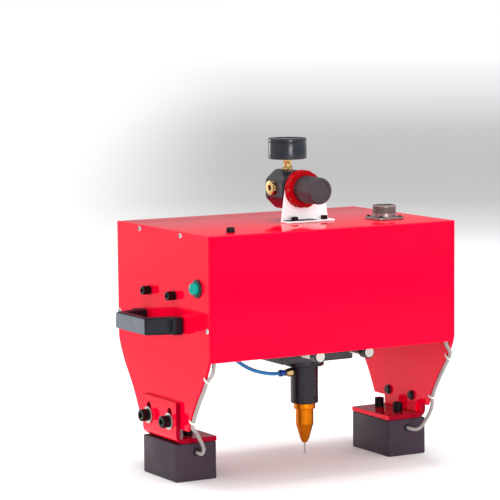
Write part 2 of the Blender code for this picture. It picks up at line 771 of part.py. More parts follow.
def make_foot(side_name, sign, looks):
    """The magnet with its bracket and screws; it slides on the two clamp bolts of the leg."""
    across = MAGNET_DEPTH / 2
    low, high = sorted((sign * FLANGE_OUTER, sign * (FLANGE_OUTER - MAGNET_LENGTH)))
    corners = (low, -across, 0), (high, across, MAGNET_HEIGHT)
    magnet = soften(block(side_name + "_magnet", *corners, looks["magnet"]),
                    MAGNET_ROUNDING)
    centre = sign * MAGNET_X
    cuts = []
    outer_x, outer_y = MAGNET_LENGTH / 2 - MAGNET_GROOVE_INSET, across - MAGNET_GROOVE_INSET
    inner_x, inner_y = outer_x - MAGNET_GROOVE_WIDTH, outer_y - MAGNET_GROOVE_WIDTH
    bars = (
        (-outer_x, outer_x, inner_y, outer_y),
        (-outer_x, outer_x, -outer_y, -inner_y),
        (-outer_x, -inner_x, -outer_y, outer_y),
        (inner_x, outer_x, -outer_y, outer_y),
    )
    for x_from, x_to, y_from, y_to in bars:
        cuts.append(block("magnet_groove", (centre + x_from, y_from, -CUT_OVERRUN),
                          (centre + x_to, y_to, MAGNET_GROOVE_DEPTH), looks["magnet"]))
    hole = cylinder("magnet_hole", LEAD_HOLE_RADIUS, -LEAD_HOLE_DEPTH, CUT_OVERRUN, looks["magnet"])
    cuts.append(aim(hole, "-Y", (centre, -across, LEAD_HOLE_HEIGHT)))

    shelf_end = FLANGE_OUTER - MAGNET_LENGTH
    bend_corner = (FLANGE_OUTER, SHELF_BOTTOM)
    bend = fillet(bend_corner, (shelf_end, SHELF_BOTTOM), (FLANGE_OUTER, SHELF_TOP), BRACKET_BEND, BEND_STEPS)
    outline = [(shelf_end, SHELF_TOP), (shelf_end, SHELF_BOTTOM), *bend]
    flange_top = SHELF_BOTTOM + BRACKET_HEIGHT
    outline += [(FLANGE_OUTER, flange_top), (FLANGE_INNER, flange_top), (FLANGE_INNER, SHELF_TOP)]
    placed = [(sign * x, z) for x, z in outline]
    bracket = prism(side_name + "_foot_bracket", placed, "Y", -across, across, looks["red"])
    bracket_cuts = []
    slot_low, slot_high = BOLT_HEIGHT, BOLT_HEIGHT + FOOT_TRAVEL
    slot_radius = BOLT_RADIUS + RUN_GAP
    thick = BRACKET_THICKNESS + CUT_OVERRUN
    slot_x = sign * (FLANGE_INNER + BRACKET_THICKNESS / 2)
    screws = []
    for label, place_y in (("front", -1), ("back", 1)):
        bolt_y = place_y * BOLT_SPACING / 2
        slot = prism("slot_" + label, slot_outline(bolt_y, slot_low, slot_high, slot_radius), "X",
                     slot_x - thick, slot_x + thick, looks["red"])
        bracket_cuts.append(slot)
        screw_y = place_y * MAGNET_SCREW_SPACING / 2
        for target, cutter_list in ((SHELF_TOP, bracket_cuts), (MAGNET_HEIGHT, cuts)):
            passage = cylinder("screw_hole", MAGNET_SCREW_RADIUS + FIT_GAP,
                               SHELF_TOP - MAGNET_SCREW_DEPTH - BRACKET_THICKNESS - FIT_GAP,
                               target + CUT_OVERRUN, looks["red"])
            passage.location = (centre, screw_y, 0)
            cutter_list.append(passage)
        made = cap_screw(
            side_name + "_magnet_screw_" + label,
            looks["oxide"],
            (MAGNET_SCREW_HEAD_RADIUS, MAGNET_SCREW_HEAD_HEIGHT),
            (MAGNET_SCREW_SOCKET_RADIUS, MAGNET_SCREW_SOCKET_DEPTH),
            (MAGNET_SCREW_RADIUS, MAGNET_SCREW_DEPTH + BRACKET_THICKNESS),
        )
        screw = place_screw(made, "Z", (centre, screw_y, SHELF_TOP + FIT_GAP))
        screws.append(screw)
    cut(magnet, *cuts)
    cut(bracket, *bracket_cuts)
    foot = assembly(side_name + "_foot", (sign * FLANGE_OUTER, 0, BOLT_HEIGHT))
    attach(foot, magnet, bracket, *screws)


def slot_outline(across, low, high, radius):
    """An upright slot with round ends."""
    found = []
    steps = SMALL_SIDES // 2
    for step in range(steps + 1):
        angle = math.pi * step / steps
        found.append((across + radius * math.cos(angle), high + radius * math.sin(angle)))
    for step in range(steps + 1):
        angle = math.pi * (1 + step / steps)
        found.append((across + radius * math.cos(angle), low + radius * math.sin(angle)))
    return found


def make_clamp_bolts(side_name, sign, looks):
    """Socket bolts with washers, through the bracket's slots into nuts pressed into the plate."""
    outward = "X" if sign > 0 else "-X"
    grip = BRACKET_THICKNESS + PLATE_THICKNESS + FIT_GAP * 3
    nut_end = grip + BOLT_NUT_THICKNESS
    for label, place_y in (("front", -1), ("back", 1)):
        made = cap_screw(
            side_name + "_clamp_bolt_" + label,
            looks["oxide"],
            (BOLT_HEAD_RADIUS, BOLT_HEAD_HEIGHT),
            (BOLT_SOCKET_RADIUS, BOLT_SOCKET_DEPTH),
            (BOLT_RADIUS, nut_end + BOLT_END),
            washer=(BOLT_WASHER_RADIUS, BOLT_WASHER_THICKNESS),
            nut=(BOLT_NUT_RADIUS, grip, nut_end, SMALL_SIDES),
        )
        seat = (sign * (FLANGE_OUTER + FIT_GAP), place_y * BOLT_SPACING / 2, BOLT_HEIGHT)
        place_screw(made, outward, seat)


def make_button(looks):
    """A round push button: bezel and body through the plate, with a sprung green cap."""
    wall = HALF_LENGTH + FIT_GAP
    body_in = BUTTON_BODY_LENGTH
    nut_at = PLATE_THICKNESS + FIT_GAP * 2
    bore = BUTTON_CAP_RADIUS + RUN_GAP
    floor = -BUTTON_CAP_IN - BUTTON_TRAVEL - RUN_GAP
    profile = [
        (0, floor),
        (bore, floor),
        (bore, BUTTON_BEZEL_HEIGHT),
        (BUTTON_BEZEL_RADIUS, BUTTON_BEZEL_HEIGHT),
        (BUTTON_BEZEL_RADIUS, 0),
        (BUTTON_BODY_RADIUS, 0),
        (BUTTON_BODY_RADIUS, -nut_at),
        (BUTTON_NUT_RADIUS, -nut_at),
        (BUTTON_NUT_RADIUS, -nut_at - BUTTON_NUT_THICKNESS),
        (BUTTON_BODY_RADIUS, -nut_at - BUTTON_NUT_THICKNESS),
        (BUTTON_BODY_RADIUS, -body_in),
        (0, -body_in),
    ]
    place = (-wall, BUTTON_Y, BUTTON_HEIGHT)
    aim(turned("start_button_housing", profile, looks["black"], MIDDLE_SIDES), "-X", place)
    cap_profile = [
        (0, -BUTTON_CAP_IN),
        (BUTTON_CAP_RADIUS, -BUTTON_CAP_IN),
        (BUTTON_CAP_RADIUS, BUTTON_CAP_OUT - BUTTON_CAP_DOME),
        (BUTTON_CAP_RADIUS - BUTTON_CAP_DOME, BUTTON_CAP_OUT),
        (0, BUTTON_CAP_OUT),
    ]
    cap = aim(turned("start_button_cap", cap_profile, looks["green"], MIDDLE_SIDES), "-X", place)
    attach(assembly("start_button_press", place), cap)


def make_plate_screws(looks):
    nut_at = PLATE_THICKNESS + FIT_GAP * 2
    nut_end = nut_at + PLATE_SCREW_NUT_THICKNESS
    for label, place_y in (("front", -1), ("back", 1)):
        made = cap_screw(
            "plate_screw_" + label,
            looks["oxide"],
            (PLATE_SCREW_HEAD_RADIUS, PLATE_SCREW_HEAD_HEIGHT),
            (PLATE_SCREW_SOCKET_RADIUS, PLATE_SCREW_SOCKET_DEPTH),
            (PLATE_SCREW_RADIUS, nut_end + PLATE_SCREW_END),
            nut=(PLATE_SCREW_NUT_RADIUS, nut_at, nut_end, HEX_SIDES),
        )
        seat = (-HALF_LENGTH - FIT_GAP, place_y * PLATE_SCREW_SPACING / 2, PLATE_SCREW_HEIGHT)
        place_screw(made, "-X", seat)


def make_motor(name, axis, place, looks):
    """A stepper motor: dark stator between two end bells, shaft end at local Z zero."""
    half = MOTOR_SIDE / 2
    corner = half - MOTOR_CHAMFER
    outline = [
        (half, -corner), (half, corner), (corner, half), (-corner, half),
        (-half, corner), (-half, -corner), (-corner, -half), (corner, -half),
    ]
    work = bmesh.new()
    bell = MOTOR_LENGTH * MOTOR_CAP_SHARE
    shrink = 1 - MOTOR_WAIST / half
    levels = [
        (-MOTOR_LENGTH, 1), (-MOTOR_LENGTH + bell, 1), (-MOTOR_LENGTH + bell, shrink), (-bell, shrink),
        (-bell, 1), (0, 1),
    ]
    rings = []
    for height, share in levels:
        rings.append([work.verts.new((x * share, y * share, height)) for x, y in outline])
    work.faces.new(rings[0])
    work.faces.new(rings[-1])
    count = len(outline)
    for lower, upper in zip(rings, rings[1:]):
        for step in range(count):
            after = (step + 1) % count
            work.faces.new((lower[step], lower[after], upper[after], upper[step]))
    motor = aim(from_bmesh(name, work, looks["oxide"]), axis, place)
    spigot = cylinder(name + "_spigot", MOTOR_SPIGOT_RADIUS, -bell / 2, MOTOR_SPIGOT_HEIGHT, looks["steel"])
    return unite(motor, aim(spigot, axis, place))


def make_x_axis(looks):
    for label, place_y in (("front", -1), ("back", 1)):
        reach = INNER_END - FIT_GAP
        rod = cylinder("x_rod_" + label, X_ROD_RADIUS, -reach, reach, looks["steel"])
        aim(rod, "X", (0, place_y * X_ROD_Y, X_ROD_HEIGHT))
    face = INNER_END - FIT_GAP - MOTOR_LENGTH
    make_motor("x_motor", "-X", (face, X_ROD_Y, X_SCREW_HEIGHT), looks)
    start = -INNER_END + FIT_GAP
    end = face - MOTOR_SPIGOT_HEIGHT - FIT_GAP
    screw = cylinder("x_screw", SCREW_RADIUS, start, end, looks["steel"])
    aim(screw, "X", (0, X_ROD_Y, X_SCREW_HEIGHT))
    attach(assembly("x_screw_turn", (0, X_ROD_Y, X_SCREW_HEIGHT)), screw)


def lug_outline(centre_x):
    """The clamp round one Y rod: straight cheeks over a half round, hung under the slider."""
    radius = Y_ROD_RADIUS + FIT_GAP + LUG_WALL
    found = [(centre_x + radius, SLIDER_BOTTOM + SLIDER_ROUNDING * 2)]
    found.append((centre_x - radius, SLIDER_BOTTOM + SLIDER_ROUNDING * 2))
    steps = SMALL_SIDES // 2
    for step in range(steps + 1):
        angle = math.pi * (1 + step / steps)
        found.append((centre_x + radius * math.cos(angle), Y_ROD_HEIGHT + radius * math.sin(angle)))
    return found


def y_rod_places():
    return (("left", HEAD_X - Y_ROD_SPACING / 2), ("right", HEAD_X + Y_ROD_SPACING / 2))


def make_slider(label, sign, looks):
    """The block that runs on one X rod and clamps the ends of both Y rods."""
    inner, outer = sorted((sign * SLIDER_INNER, sign * SLIDER_OUTER))
    slider = block(
        "x_slider_" + label,
        (HEAD_X - SLIDER_HALF_LENGTH, inner, SLIDER_BOTTOM),
        (HEAD_X + SLIDER_HALF_LENGTH, outer, SLIDER_TOP),
        looks["anodised"],
    )
    soften(slider, SLIDER_ROUNDING)
    tools, cuts = [], []
    lug_outer = sign * (Y_ROD_END - LUG_SET_BACK)
    lug_inner = sign * (Y_ROD_END - LUG_SET_BACK - LUG_DEPTH)
    for _, centre_x in y_rod_places():
        tools.append(prism("rod_lug", lug_outline(centre_x), "Y", min(lug_inner, lug_outer),
                           max(lug_inner, lug_outer), looks["anodised"]))
        bore = cylinder("rod_bore", Y_ROD_RADIUS + FIT_GAP, -SLIDER_DEPTH, SLIDER_DEPTH, looks["anodised"])
        cuts.append(aim(bore, "Y", (centre_x, sign * X_ROD_Y, Y_ROD_HEIGHT)))
    bore = cylinder("slide_bore", X_ROD_RADIUS + RUN_GAP, -HALF_LENGTH, HALF_LENGTH, looks["anodised"])
    cuts.append(aim(bore, "X", (HEAD_X, sign * X_ROD_Y, X_ROD_HEIGHT)))
    if sign > 0:
        top = X_SCREW_HEIGHT + SCREW_RADIUS + NUT_LUG_WALL
        half = NUT_LUG_WIDTH / 2
        low_y, high_y = SLIDER_INNER + LUG_SET_BACK, SLIDER_OUTER - LUG_SET_BACK
        tools.append(block("nut_lug", (HEAD_X - half, low_y, SLIDER_TOP - SLIDER_ROUNDING * 2),
                           (HEAD_X + half, high_y, top), looks["anodised"]))
        nut = cylinder("nut_bore", SCREW_RADIUS + RUN_GAP, -NUT_LUG_WIDTH, NUT_LUG_WIDTH, looks["anodised"])
        cuts.append(aim(nut, "X", (HEAD_X, X_ROD_Y, X_SCREW_HEIGHT)))
    else:
        seat = cylinder("screw_seat", SCREW_RADIUS + RUN_GAP, -Y_SCREW_SEAT, CUT_OVERRUN, looks["anodised"])
        cuts.append(aim(seat, "Y", (HEAD_X, -SLIDER_INNER, Y_SCREW_HEIGHT)))
    unite(slider, *tools)
    return cut(slider, *cuts)


def make_valve(looks):
    """The solenoid valve on the front slider's inner face, with its push-in fitting."""
    left = HEAD_X - SLIDER_HALF_LENGTH
    right = left + VALVE_WIDTH
    front = -SLIDER_INNER + FIT_GAP
    back = front + VALVE_DEPTH
    low = UNDERSIDE_HEIGHT + VALVE_RISE
    valve = block("air_valve", (left, front, low), (right, back, low + VALVE_HEIGHT), looks["aluminium"])
    soften(valve, SLIDER_ROUNDING)
    middle_x, middle_y = (left + right) / 2, (front + back) / 2
    half = VALVE_WIDTH * VALVE_COIL_SHARE / 2
    coil = block("valve_coil", (middle_x - half, middle_y - half, low + VALVE_HEIGHT / 2),
                 (middle_x + half, middle_y + half, low + VALVE_HEIGHT + VALVE_COIL_LENGTH), looks["black"])
    unite(valve, coil)
    place = (left - FIT_GAP, middle_y, low + VALVE_HEIGHT / 2)
    fitting = cylinder("valve_fitting", VALVE_FITTING_RADIUS, 0, VALVE_FITTING_LENGTH, looks["brass"])
    aim(fitting, "-X", place)
    return valve, fitting


def make_x_carriage(looks):
    carriage = assembly("x_carriage", (HEAD_X, 0, X_ROD_HEIGHT))
    front = make_slider("front", -1, looks)
    back = make_slider("back", 1, looks)
    pieces = [front, back]
    for label, centre_x in y_rod_places():
        rod = cylinder("y_rod_" + label, Y_ROD_RADIUS, -Y_ROD_END, Y_ROD_END, looks["steel"], MIDDLE_SIDES)
        pieces.append(aim(rod, "Y", (centre_x, 0, Y_ROD_HEIGHT)))
    face = SLIDER_INNER - FIT_GAP - MOTOR_LENGTH
    pieces.append(make_motor("y_motor", "-Y", (HEAD_X, face, Y_SCREW_HEIGHT), looks))
    pieces += make_valve(looks)
    attach(carriage, *pieces)
    start = -SLIDER_INNER - Y_SCREW_SEAT + FIT_GAP
    end = face - MOTOR_SPIGOT_HEIGHT - FIT_GAP
    screw = cylinder("y_screw", SCREW_RADIUS, start, end, looks["steel"])
    aim(screw, "Y", (HEAD_X, 0, Y_SCREW_HEIGHT))
    attach(assembly("y_screw_turn", (HEAD_X, 0, Y_SCREW_HEIGHT), carriage), screw)
    return carriage


def make_y_carriage(looks, x_carriage):
    """The bearing block on the Y rods, with the marking head hung under it."""
    carriage = assembly("y_carriage_slide", (HEAD_X, HEAD_Y, Y_ROD_HEIGHT), x_carriage)
    bearing = block(
        "y_carriage",
        (HEAD_X - BLOCK_LEFT, HEAD_Y - BLOCK_FRONT, BLOCK_BOTTOM),
        (HEAD_X + BLOCK_RIGHT, HEAD_Y + BLOCK_BACK, BLOCK_TOP),
        looks["anodised"],
    )
    soften(bearing, BLOCK_ROUNDING)
    cuts = []
    for _, centre_x in y_rod_places():
        bore = cylinder("bearing_bore", Y_ROD_RADIUS + RUN_GAP, -BLOCK_FRONT - CUT_OVERRUN,
                        BLOCK_BACK + CUT_OVERRUN, looks["anodised"], MIDDLE_SIDES)
        cuts.append(aim(bore, "Y", (centre_x, HEAD_Y, Y_ROD_HEIGHT)))
    half = NUT_LUG_WIDTH / 2
    lug_y = HEAD_Y - BLOCK_LUG_BACK
    lug = block("block_lug", (HEAD_X - half, lug_y - NUT_LUG_DEPTH / 2, BLOCK_TOP - BLOCK_ROUNDING * 2),
                (HEAD_X + half, lug_y + NUT_LUG_DEPTH / 2, Y_SCREW_HEIGHT + SCREW_RADIUS + NUT_LUG_WALL),
                looks["anodised"])
    nut = cylinder("nut_bore", SCREW_RADIUS + RUN_GAP, -NUT_LUG_DEPTH, NUT_LUG_DEPTH, looks["anodised"])
    cuts.append(aim(nut, "Y", (HEAD_X, lug_y, Y_SCREW_HEIGHT)))
    unite(bearing, lug)
    cut(bearing, *cuts)
    attach(carriage, bearing, *make_head(looks))
    make_stylus(looks, carriage)


def make_head(looks):
    """Flange, cylinder and gold nose, with the air fitting, collet and tube on the left."""
    bore_top = HEAD_BOTTOM + HEAD_BORE_DEPTH
    profile = [
        (0, HEAD_TOP),
        (FLANGE_RADIUS, HEAD_TOP),
        (FLANGE_RADIUS, CYLINDER_TOP),
        (HEAD_RADIUS, CYLINDER_TOP),
        (HEAD_RADIUS, HEAD_BOTTOM + HEAD_CHAMFER),
        (HEAD_RADIUS - HEAD_CHAMFER, HEAD_BOTTOM),
        (HEAD_BORE_RADIUS, HEAD_BOTTOM),
        (HEAD_BORE_RADIUS, bore_top),
        (0, bore_top),
    ]
    head = turned("head_body", profile, looks["anodised"])
    head.location = (HEAD_X, HEAD_Y, 0)
    inlet_height = HEAD_TOP - HEAD_FITTING_DROP
    inlet_radius, inlet_end = HEAD_FITTING_THREAD_RADIUS + FIT_GAP, HEAD_RADIUS + CUT_OVERRUN
    inlet = cylinder("head_inlet", inlet_radius, 0, inlet_end, looks["anodised"])
    cut(head, aim(inlet, "-X", (HEAD_X, HEAD_Y, inlet_height)))

    collar_end = NOSE_TOP - NOSE_COLLAR_LENGTH
    straight_end = collar_end - NOSE_STRAIGHT
    taper_end = straight_end - NOSE_TAPER
    bore = STYLUS_RADIUS + RUN_GAP
    spigot = HEAD_BORE_RADIUS - FIT_GAP
    nose_profile = [
        (bore, NOSE_TOP + NOSE_SPIGOT),
        (spigot, NOSE_TOP + NOSE_SPIGOT),
        (spigot, NOSE_TOP),
        (NOSE_COLLAR_RADIUS, NOSE_TOP),
        (NOSE_COLLAR_RADIUS, collar_end),
        (NOSE_RADIUS, collar_end),
        (NOSE_RADIUS, straight_end),
        (NOSE_END_RADIUS, taper_end),
        (bore + FIT_GAP, taper_end - NOSE_POINT),
        (bore, taper_end - NOSE_POINT),
    ]
    nose = turned("head_nose", nose_profile, looks["gold"], MIDDLE_SIDES)
    nose.location = (HEAD_X, HEAD_Y, 0)

    surface = (HEAD_X - HEAD_RADIUS - FIT_GAP, HEAD_Y, inlet_height)
    fitting_profile = [
        (0, -HEAD_FITTING_THREAD_LENGTH),
        (HEAD_FITTING_THREAD_RADIUS, -HEAD_FITTING_THREAD_LENGTH),
        (HEAD_FITTING_THREAD_RADIUS, 0),
        (HEAD_FITTING_RADIUS, 0),
        (HEAD_FITTING_RADIUS, HEAD_FITTING_LENGTH),
        (0, HEAD_FITTING_LENGTH),
    ]
    fitting = aim(turned("head_fitting", fitting_profile, looks["brass"], HEX_SIDES), "-X", surface)
    collet_at = HEAD_FITTING_LENGTH + FIT_GAP
    collet_profile = [
        (0, collet_at),
        (COLLET_RADIUS - COLLET_LIP, collet_at),
        (COLLET_RADIUS - COLLET_LIP, collet_at + COLLET_LENGTH / 2),
        (COLLET_RADIUS, collet_at + COLLET_LENGTH / 2),
        (COLLET_RADIUS, collet_at + COLLET_LENGTH),
        (0, collet_at + COLLET_LENGTH),
    ]
    collet = aim(turned("head_collet", collet_profile, looks["blue"], SMALL_SIDES), "-X", surface)
    tube = cord("head_tube", smooth_route(HEAD_TUBE_ROUTE, TUBE_STEPS), TUBE_RADIUS, looks["blue"])
    return head, nose, fitting, collet, tube


def make_stylus(looks, carriage):
    """The hardened pin with its piston, which the air drives down against a return spring."""
    nose_end = NOSE_TOP - NOSE_COLLAR_LENGTH - NOSE_STRAIGHT - NOSE_TAPER - NOSE_POINT
    tip = nose_end - STYLUS_OUT
    piston_low = NOSE_TOP + NOSE_SPIGOT + STYLUS_TRAVEL + CUT_OVERRUN
    piston_radius = HEAD_BORE_RADIUS - FIT_GAP
    profile = [
        (0, tip),
        (STYLUS_RADIUS, tip + STYLUS_TIP),
        (STYLUS_RADIUS, piston_low),
        (piston_radius, piston_low),
        (piston_radius, piston_low + PISTON_LENGTH),
        (0, piston_low + PISTON_LENGTH),
    ]
    stylus = turned("head_stylus", profile, looks["steel"], SMALL_SIDES)
    pivot = assembly("stylus_strike", (HEAD_X, HEAD_Y, tip), carriage)
    stylus.location = (HEAD_X, HEAD_Y, 0)
    attach(pivot, stylus)


def panel_screw_places():
    screw_y = PANEL_FRONT_Y - PANEL_SCREW_SET_BACK
    return [(PANEL_X + side * PANEL_SCREW_SPACING / 2, screw_y, 0) for side in (-1, 1)]


def tangent_angle(corner, side):
    """Where a line from the corner touches the head circle of the panel, on the given side."""
    across, up = corner[0] - REGULATOR_X, corner[1] - REGULATOR_HEIGHT_AT
    return math.atan2(up, across) + side * math.acos(PANEL_TOP_RADIUS / math.hypot(across, up))


def panel_outline():
    """Upright plate of the regulator's bracket: a wide foot that narrows to a round head."""
    half = PANEL_WIDTH / 2
    shoulder_height = PANEL_BASE_BOTTOM + PANEL_SHOULDER_RISE
    shoulder = (PANEL_X + half - PANEL_SHOULDER_IN, shoulder_height)
    left_foot = (PANEL_X - half, PANEL_BASE_BOTTOM)
    found = [left_foot, (PANEL_X + half, PANEL_BASE_BOTTOM), shoulder]
    start = tangent_angle(shoulder, 1)
    end = tangent_angle(left_foot, -1) + 2 * math.pi
    steps = SMALL_SIDES // 2
    for step in range(steps + 1):
        angle = start + (end - start) * step / steps
        x = REGULATOR_X + PANEL_TOP_RADIUS * math.cos(angle)
        z = REGULATOR_HEIGHT_AT + PANEL_TOP_RADIUS * math.sin(angle)
        found.append((x, z))
    return found


def make_panel(looks):
    """The white angle bracket that carries the regulator, with its two screws."""
    panel = prism("regulator_bracket", panel_outline(), "Y", PANEL_FRONT_Y, PANEL_BACK_Y, looks["white"])
    half = PANEL_BASE_WIDTH / 2
    base = block("panel_base", (PANEL_X - half, PANEL_FRONT_Y - PANEL_BASE_DEPTH, PANEL_BASE_BOTTOM),
                 (PANEL_X + half, PANEL_BACK_Y, PANEL_BASE_TOP), looks["white"])
    neck = cylinder("neck_hole", REGULATOR_NECK_RADIUS + FIT_GAP, -PANEL_BASE_DEPTH, PANEL_BASE_DEPTH,
                    looks["white"], MIDDLE_SIDES)
    cuts = [aim(neck, "Y", (REGULATOR_X, PANEL_FRONT_Y, REGULATOR_HEIGHT_AT))]
    for side_name, place in zip(("left", "right"), panel_screw_places()):
        hole = cylinder("panel_hole", PANEL_SCREW_RADIUS + FIT_GAP, PANEL_BASE_BOTTOM - CUT_OVERRUN,
                        PANEL_BASE_TOP + CUT_OVERRUN, looks["white"])
        hole.location = place
        cuts.append(hole)
        made = cap_screw(
            "bracket_screw_" + side_name,
            looks["oxide"],
            (PANEL_SCREW_HEAD_RADIUS, PANEL_SCREW_HEAD_HEIGHT),
            (PANEL_SCREW_SOCKET_RADIUS, PANEL_SCREW_SOCKET_DEPTH),
            (PANEL_SCREW_RADIUS, PANEL_SCREW_LENGTH),
        )
        place_screw(made, "Z", (place[0], place[1], PANEL_BASE_TOP + FIT_GAP))
    unite(panel, base)
    return cut(panel, *cuts)


def make_regulator(looks):
    """Body with its neck, ring nut, spindle and knob, inlet fitting and gauge."""
    half, side_half, top_half = REGULATOR_WIDTH / 2, REGULATOR_SIDE_FLAT / 2, REGULATOR_TOP_FLAT / 2
    upper = REGULATOR_HEIGHT / 2
    lower = upper + REGULATOR_FOOT
    side_top, side_low = side_half - REGULATOR_SIDE_DROP, -side_half - REGULATOR_SIDE_DROP
    outline = [
        (half, side_low), (half, side_top), (top_half, upper), (-top_half, upper),
        (-half, side_top), (-half, side_low), (-top_half, -lower), (top_half, -lower),
    ]
    placed = [(REGULATOR_X + x, REGULATOR_HEIGHT_AT + z) for x, z in outline]
    low = REGULATOR_HEIGHT_AT - lower
    back = REGULATOR_FRONT + REGULATOR_DEPTH
    body = prism("regulator_body", placed, "Y", REGULATOR_FRONT, back, looks["black"])
    soften(body, REGULATOR_EDGE)
    neck_place = (REGULATOR_X, REGULATOR_FRONT, REGULATOR_HEIGHT_AT)
    neck_end = REGULATOR_SHOULDER + REGULATOR_NECK
    neck_profile = [
        (0, -REGULATOR_EDGE),
        (REGULATOR_SHOULDER_RADIUS, -REGULATOR_EDGE),
        (REGULATOR_SHOULDER_RADIUS, REGULATOR_SHOULDER),
        (REGULATOR_NECK_RADIUS, REGULATOR_SHOULDER),
        (REGULATOR_NECK_RADIUS, neck_end),
        (0, neck_end),
    ]
    neck = aim(turned("regulator_neck", neck_profile, looks["black"]), "-Y", neck_place)
    foot_end = low - REGULATOR_CAP_HEIGHT
    foot = cylinder("regulator_cap", REGULATOR_CAP_RADIUS, foot_end, low + REGULATOR_EDGE, looks["black"])
    foot.location = (REGULATOR_X, REGULATOR_Y, 0)
    port_floor = -REGULATOR_PORT_DEPTH
    port = cylinder("regulator_port", REGULATOR_PORT_RADIUS, port_floor, CUT_OVERRUN, looks["black"])
    aim(port, "X", (REGULATOR_X + half, PORT_Y, REGULATOR_HEIGHT_AT))
    unite(body, neck, foot)
    cut(body, port)

    ring_at = REGULATOR_SHOULDER + PANEL_THICKNESS + FIT_GAP * 2
    ring_end = ring_at + RING_THICKNESS
    ring_bore = REGULATOR_NECK_RADIUS + FIT_GAP
    ring_profile = [
        (ring_bore, ring_at),
        (RING_RADIUS, ring_at),
        (RING_RADIUS, ring_end - RING_CHAMFER),
        (RING_RADIUS - RING_CHAMFER, ring_end),
        (ring_bore, ring_end),
    ]
    half_step = math.pi / ROUND_SIDES
    ring = aim(turned("regulator_ring_nut", ring_profile, looks["red"], turn=half_step), "-Y", neck_place)
    notches = []
    for step in range(RING_NOTCHES):
        angle = 2 * math.pi * step / RING_NOTCHES
        x = REGULATOR_X + RING_RADIUS * math.cos(angle)
        z = REGULATOR_HEIGHT_AT + RING_RADIUS * math.sin(angle)
        start, end = ring_at - CUT_OVERRUN, ring_end + CUT_OVERRUN
        notch = cylinder("ring_notch", RING_NOTCH_RADIUS, start, end, looks["red"], SMALL_SIDES // 2)
        notches.append(aim(notch, "-Y", (x, REGULATOR_FRONT, z)))
    cut(ring, *notches)

    make_knob(looks)
    make_gauge(looks)
    side = (REGULATOR_X - half - FIT_GAP, PORT_Y, REGULATOR_HEIGHT_AT)
    inlet_profile = [
        (INLET_BORE, 0),
        (INLET_RADIUS, 0),
        (INLET_RADIUS, INLET_LENGTH),
        (INLET_BORE, INLET_LENGTH),
    ]
    aim(turned("inlet_fitting", inlet_profile, looks["brass"], HEX_SIDES), "-X", side)


def make_knob(looks):
    """The spindle turns in the neck; the ribbed knob turns with it and pulls out to unlock."""
    axis = (REGULATOR_X, 0, REGULATOR_HEIGHT_AT)
    start = -NECK_END + FIT_GAP
    spindle_profile = [
        (0, start),
        (SPINDLE_FLANGE_RADIUS, start),
        (SPINDLE_FLANGE_RADIUS, start + SPINDLE_FLANGE),
        (SPINDLE_RADIUS, start + SPINDLE_FLANGE),
        (SPINDLE_RADIUS, start + SPINDLE_LENGTH),
        (0, start + SPINDLE_LENGTH),
    ]
    spindle = aim(turned("regulator_spindle", spindle_profile, looks["steel"], SMALL_SIDES), "-Y", axis)
    knob_at = start + SPINDLE_FLANGE + FIT_GAP
    knob_end = knob_at + KNOB_LENGTH
    bore = SPINDLE_RADIUS + FIT_GAP
    work = bmesh.new()
    levels = [
        (bore, knob_at, 0), (KNOB_RADIUS, knob_at, 0), (KNOB_RADIUS, knob_at + KNOB_SKIRT, 0),
        (KNOB_RADIUS, knob_at + KNOB_SKIRT, KNOB_GROOVE_DEPTH),
        (KNOB_RADIUS, knob_end - KNOB_CHAMFER, KNOB_GROOVE_DEPTH),
        (KNOB_RADIUS - KNOB_CHAMFER, knob_end, 0), (KNOB_DISH_RADIUS, knob_end, 0),
        (KNOB_DISH_RADIUS - KNOB_DISH_DEPTH, knob_end - KNOB_DISH_DEPTH, 0),
    ]
    count = KNOB_RIBS * 4
    rings = []
    for radius, height, groove in levels:
        ring = []
        for step in range(count):
            angle = 2 * math.pi * step / count
            reach = radius - groove * (step % 4 > 1)
            ring.append(work.verts.new((reach * math.cos(angle), reach * math.sin(angle), height)))
        rings.append(ring)
    bore_end = knob_at + KNOB_BORE_DEPTH
    rings.append([work.verts.new((0, 0, knob_end - KNOB_DISH_DEPTH))])
    floor = []
    for step in range(count):
        angle = 2 * math.pi * step / count
        floor.append(work.verts.new((bore * math.cos(angle), bore * math.sin(angle), bore_end)))
    rings = [[work.verts.new((0, 0, bore_end))], floor, *rings]
    for first, second in zip(rings, rings[1:]):
        for step in range(count):
            after = (step + 1) % count
            corners = [first[step % len(first)], first[after % len(first)]]
            corners += [second[after % len(second)], second[step % len(second)]]
            unique = list(dict.fromkeys(corners))
            if len(unique) > 2:
                work.faces.new(unique)
    knob = aim(from_bmesh("regulator_knob", work, looks["black"], smooth=True), "-Y", axis)
    turn = assembly("regulator_turn", (REGULATOR_X, NECK_END, REGULATOR_HEIGHT_AT))
    attach(turn, spindle)
    attach(assembly("regulator_pull", (REGULATOR_X, NECK_END, REGULATOR_HEIGHT_AT), turn), knob)


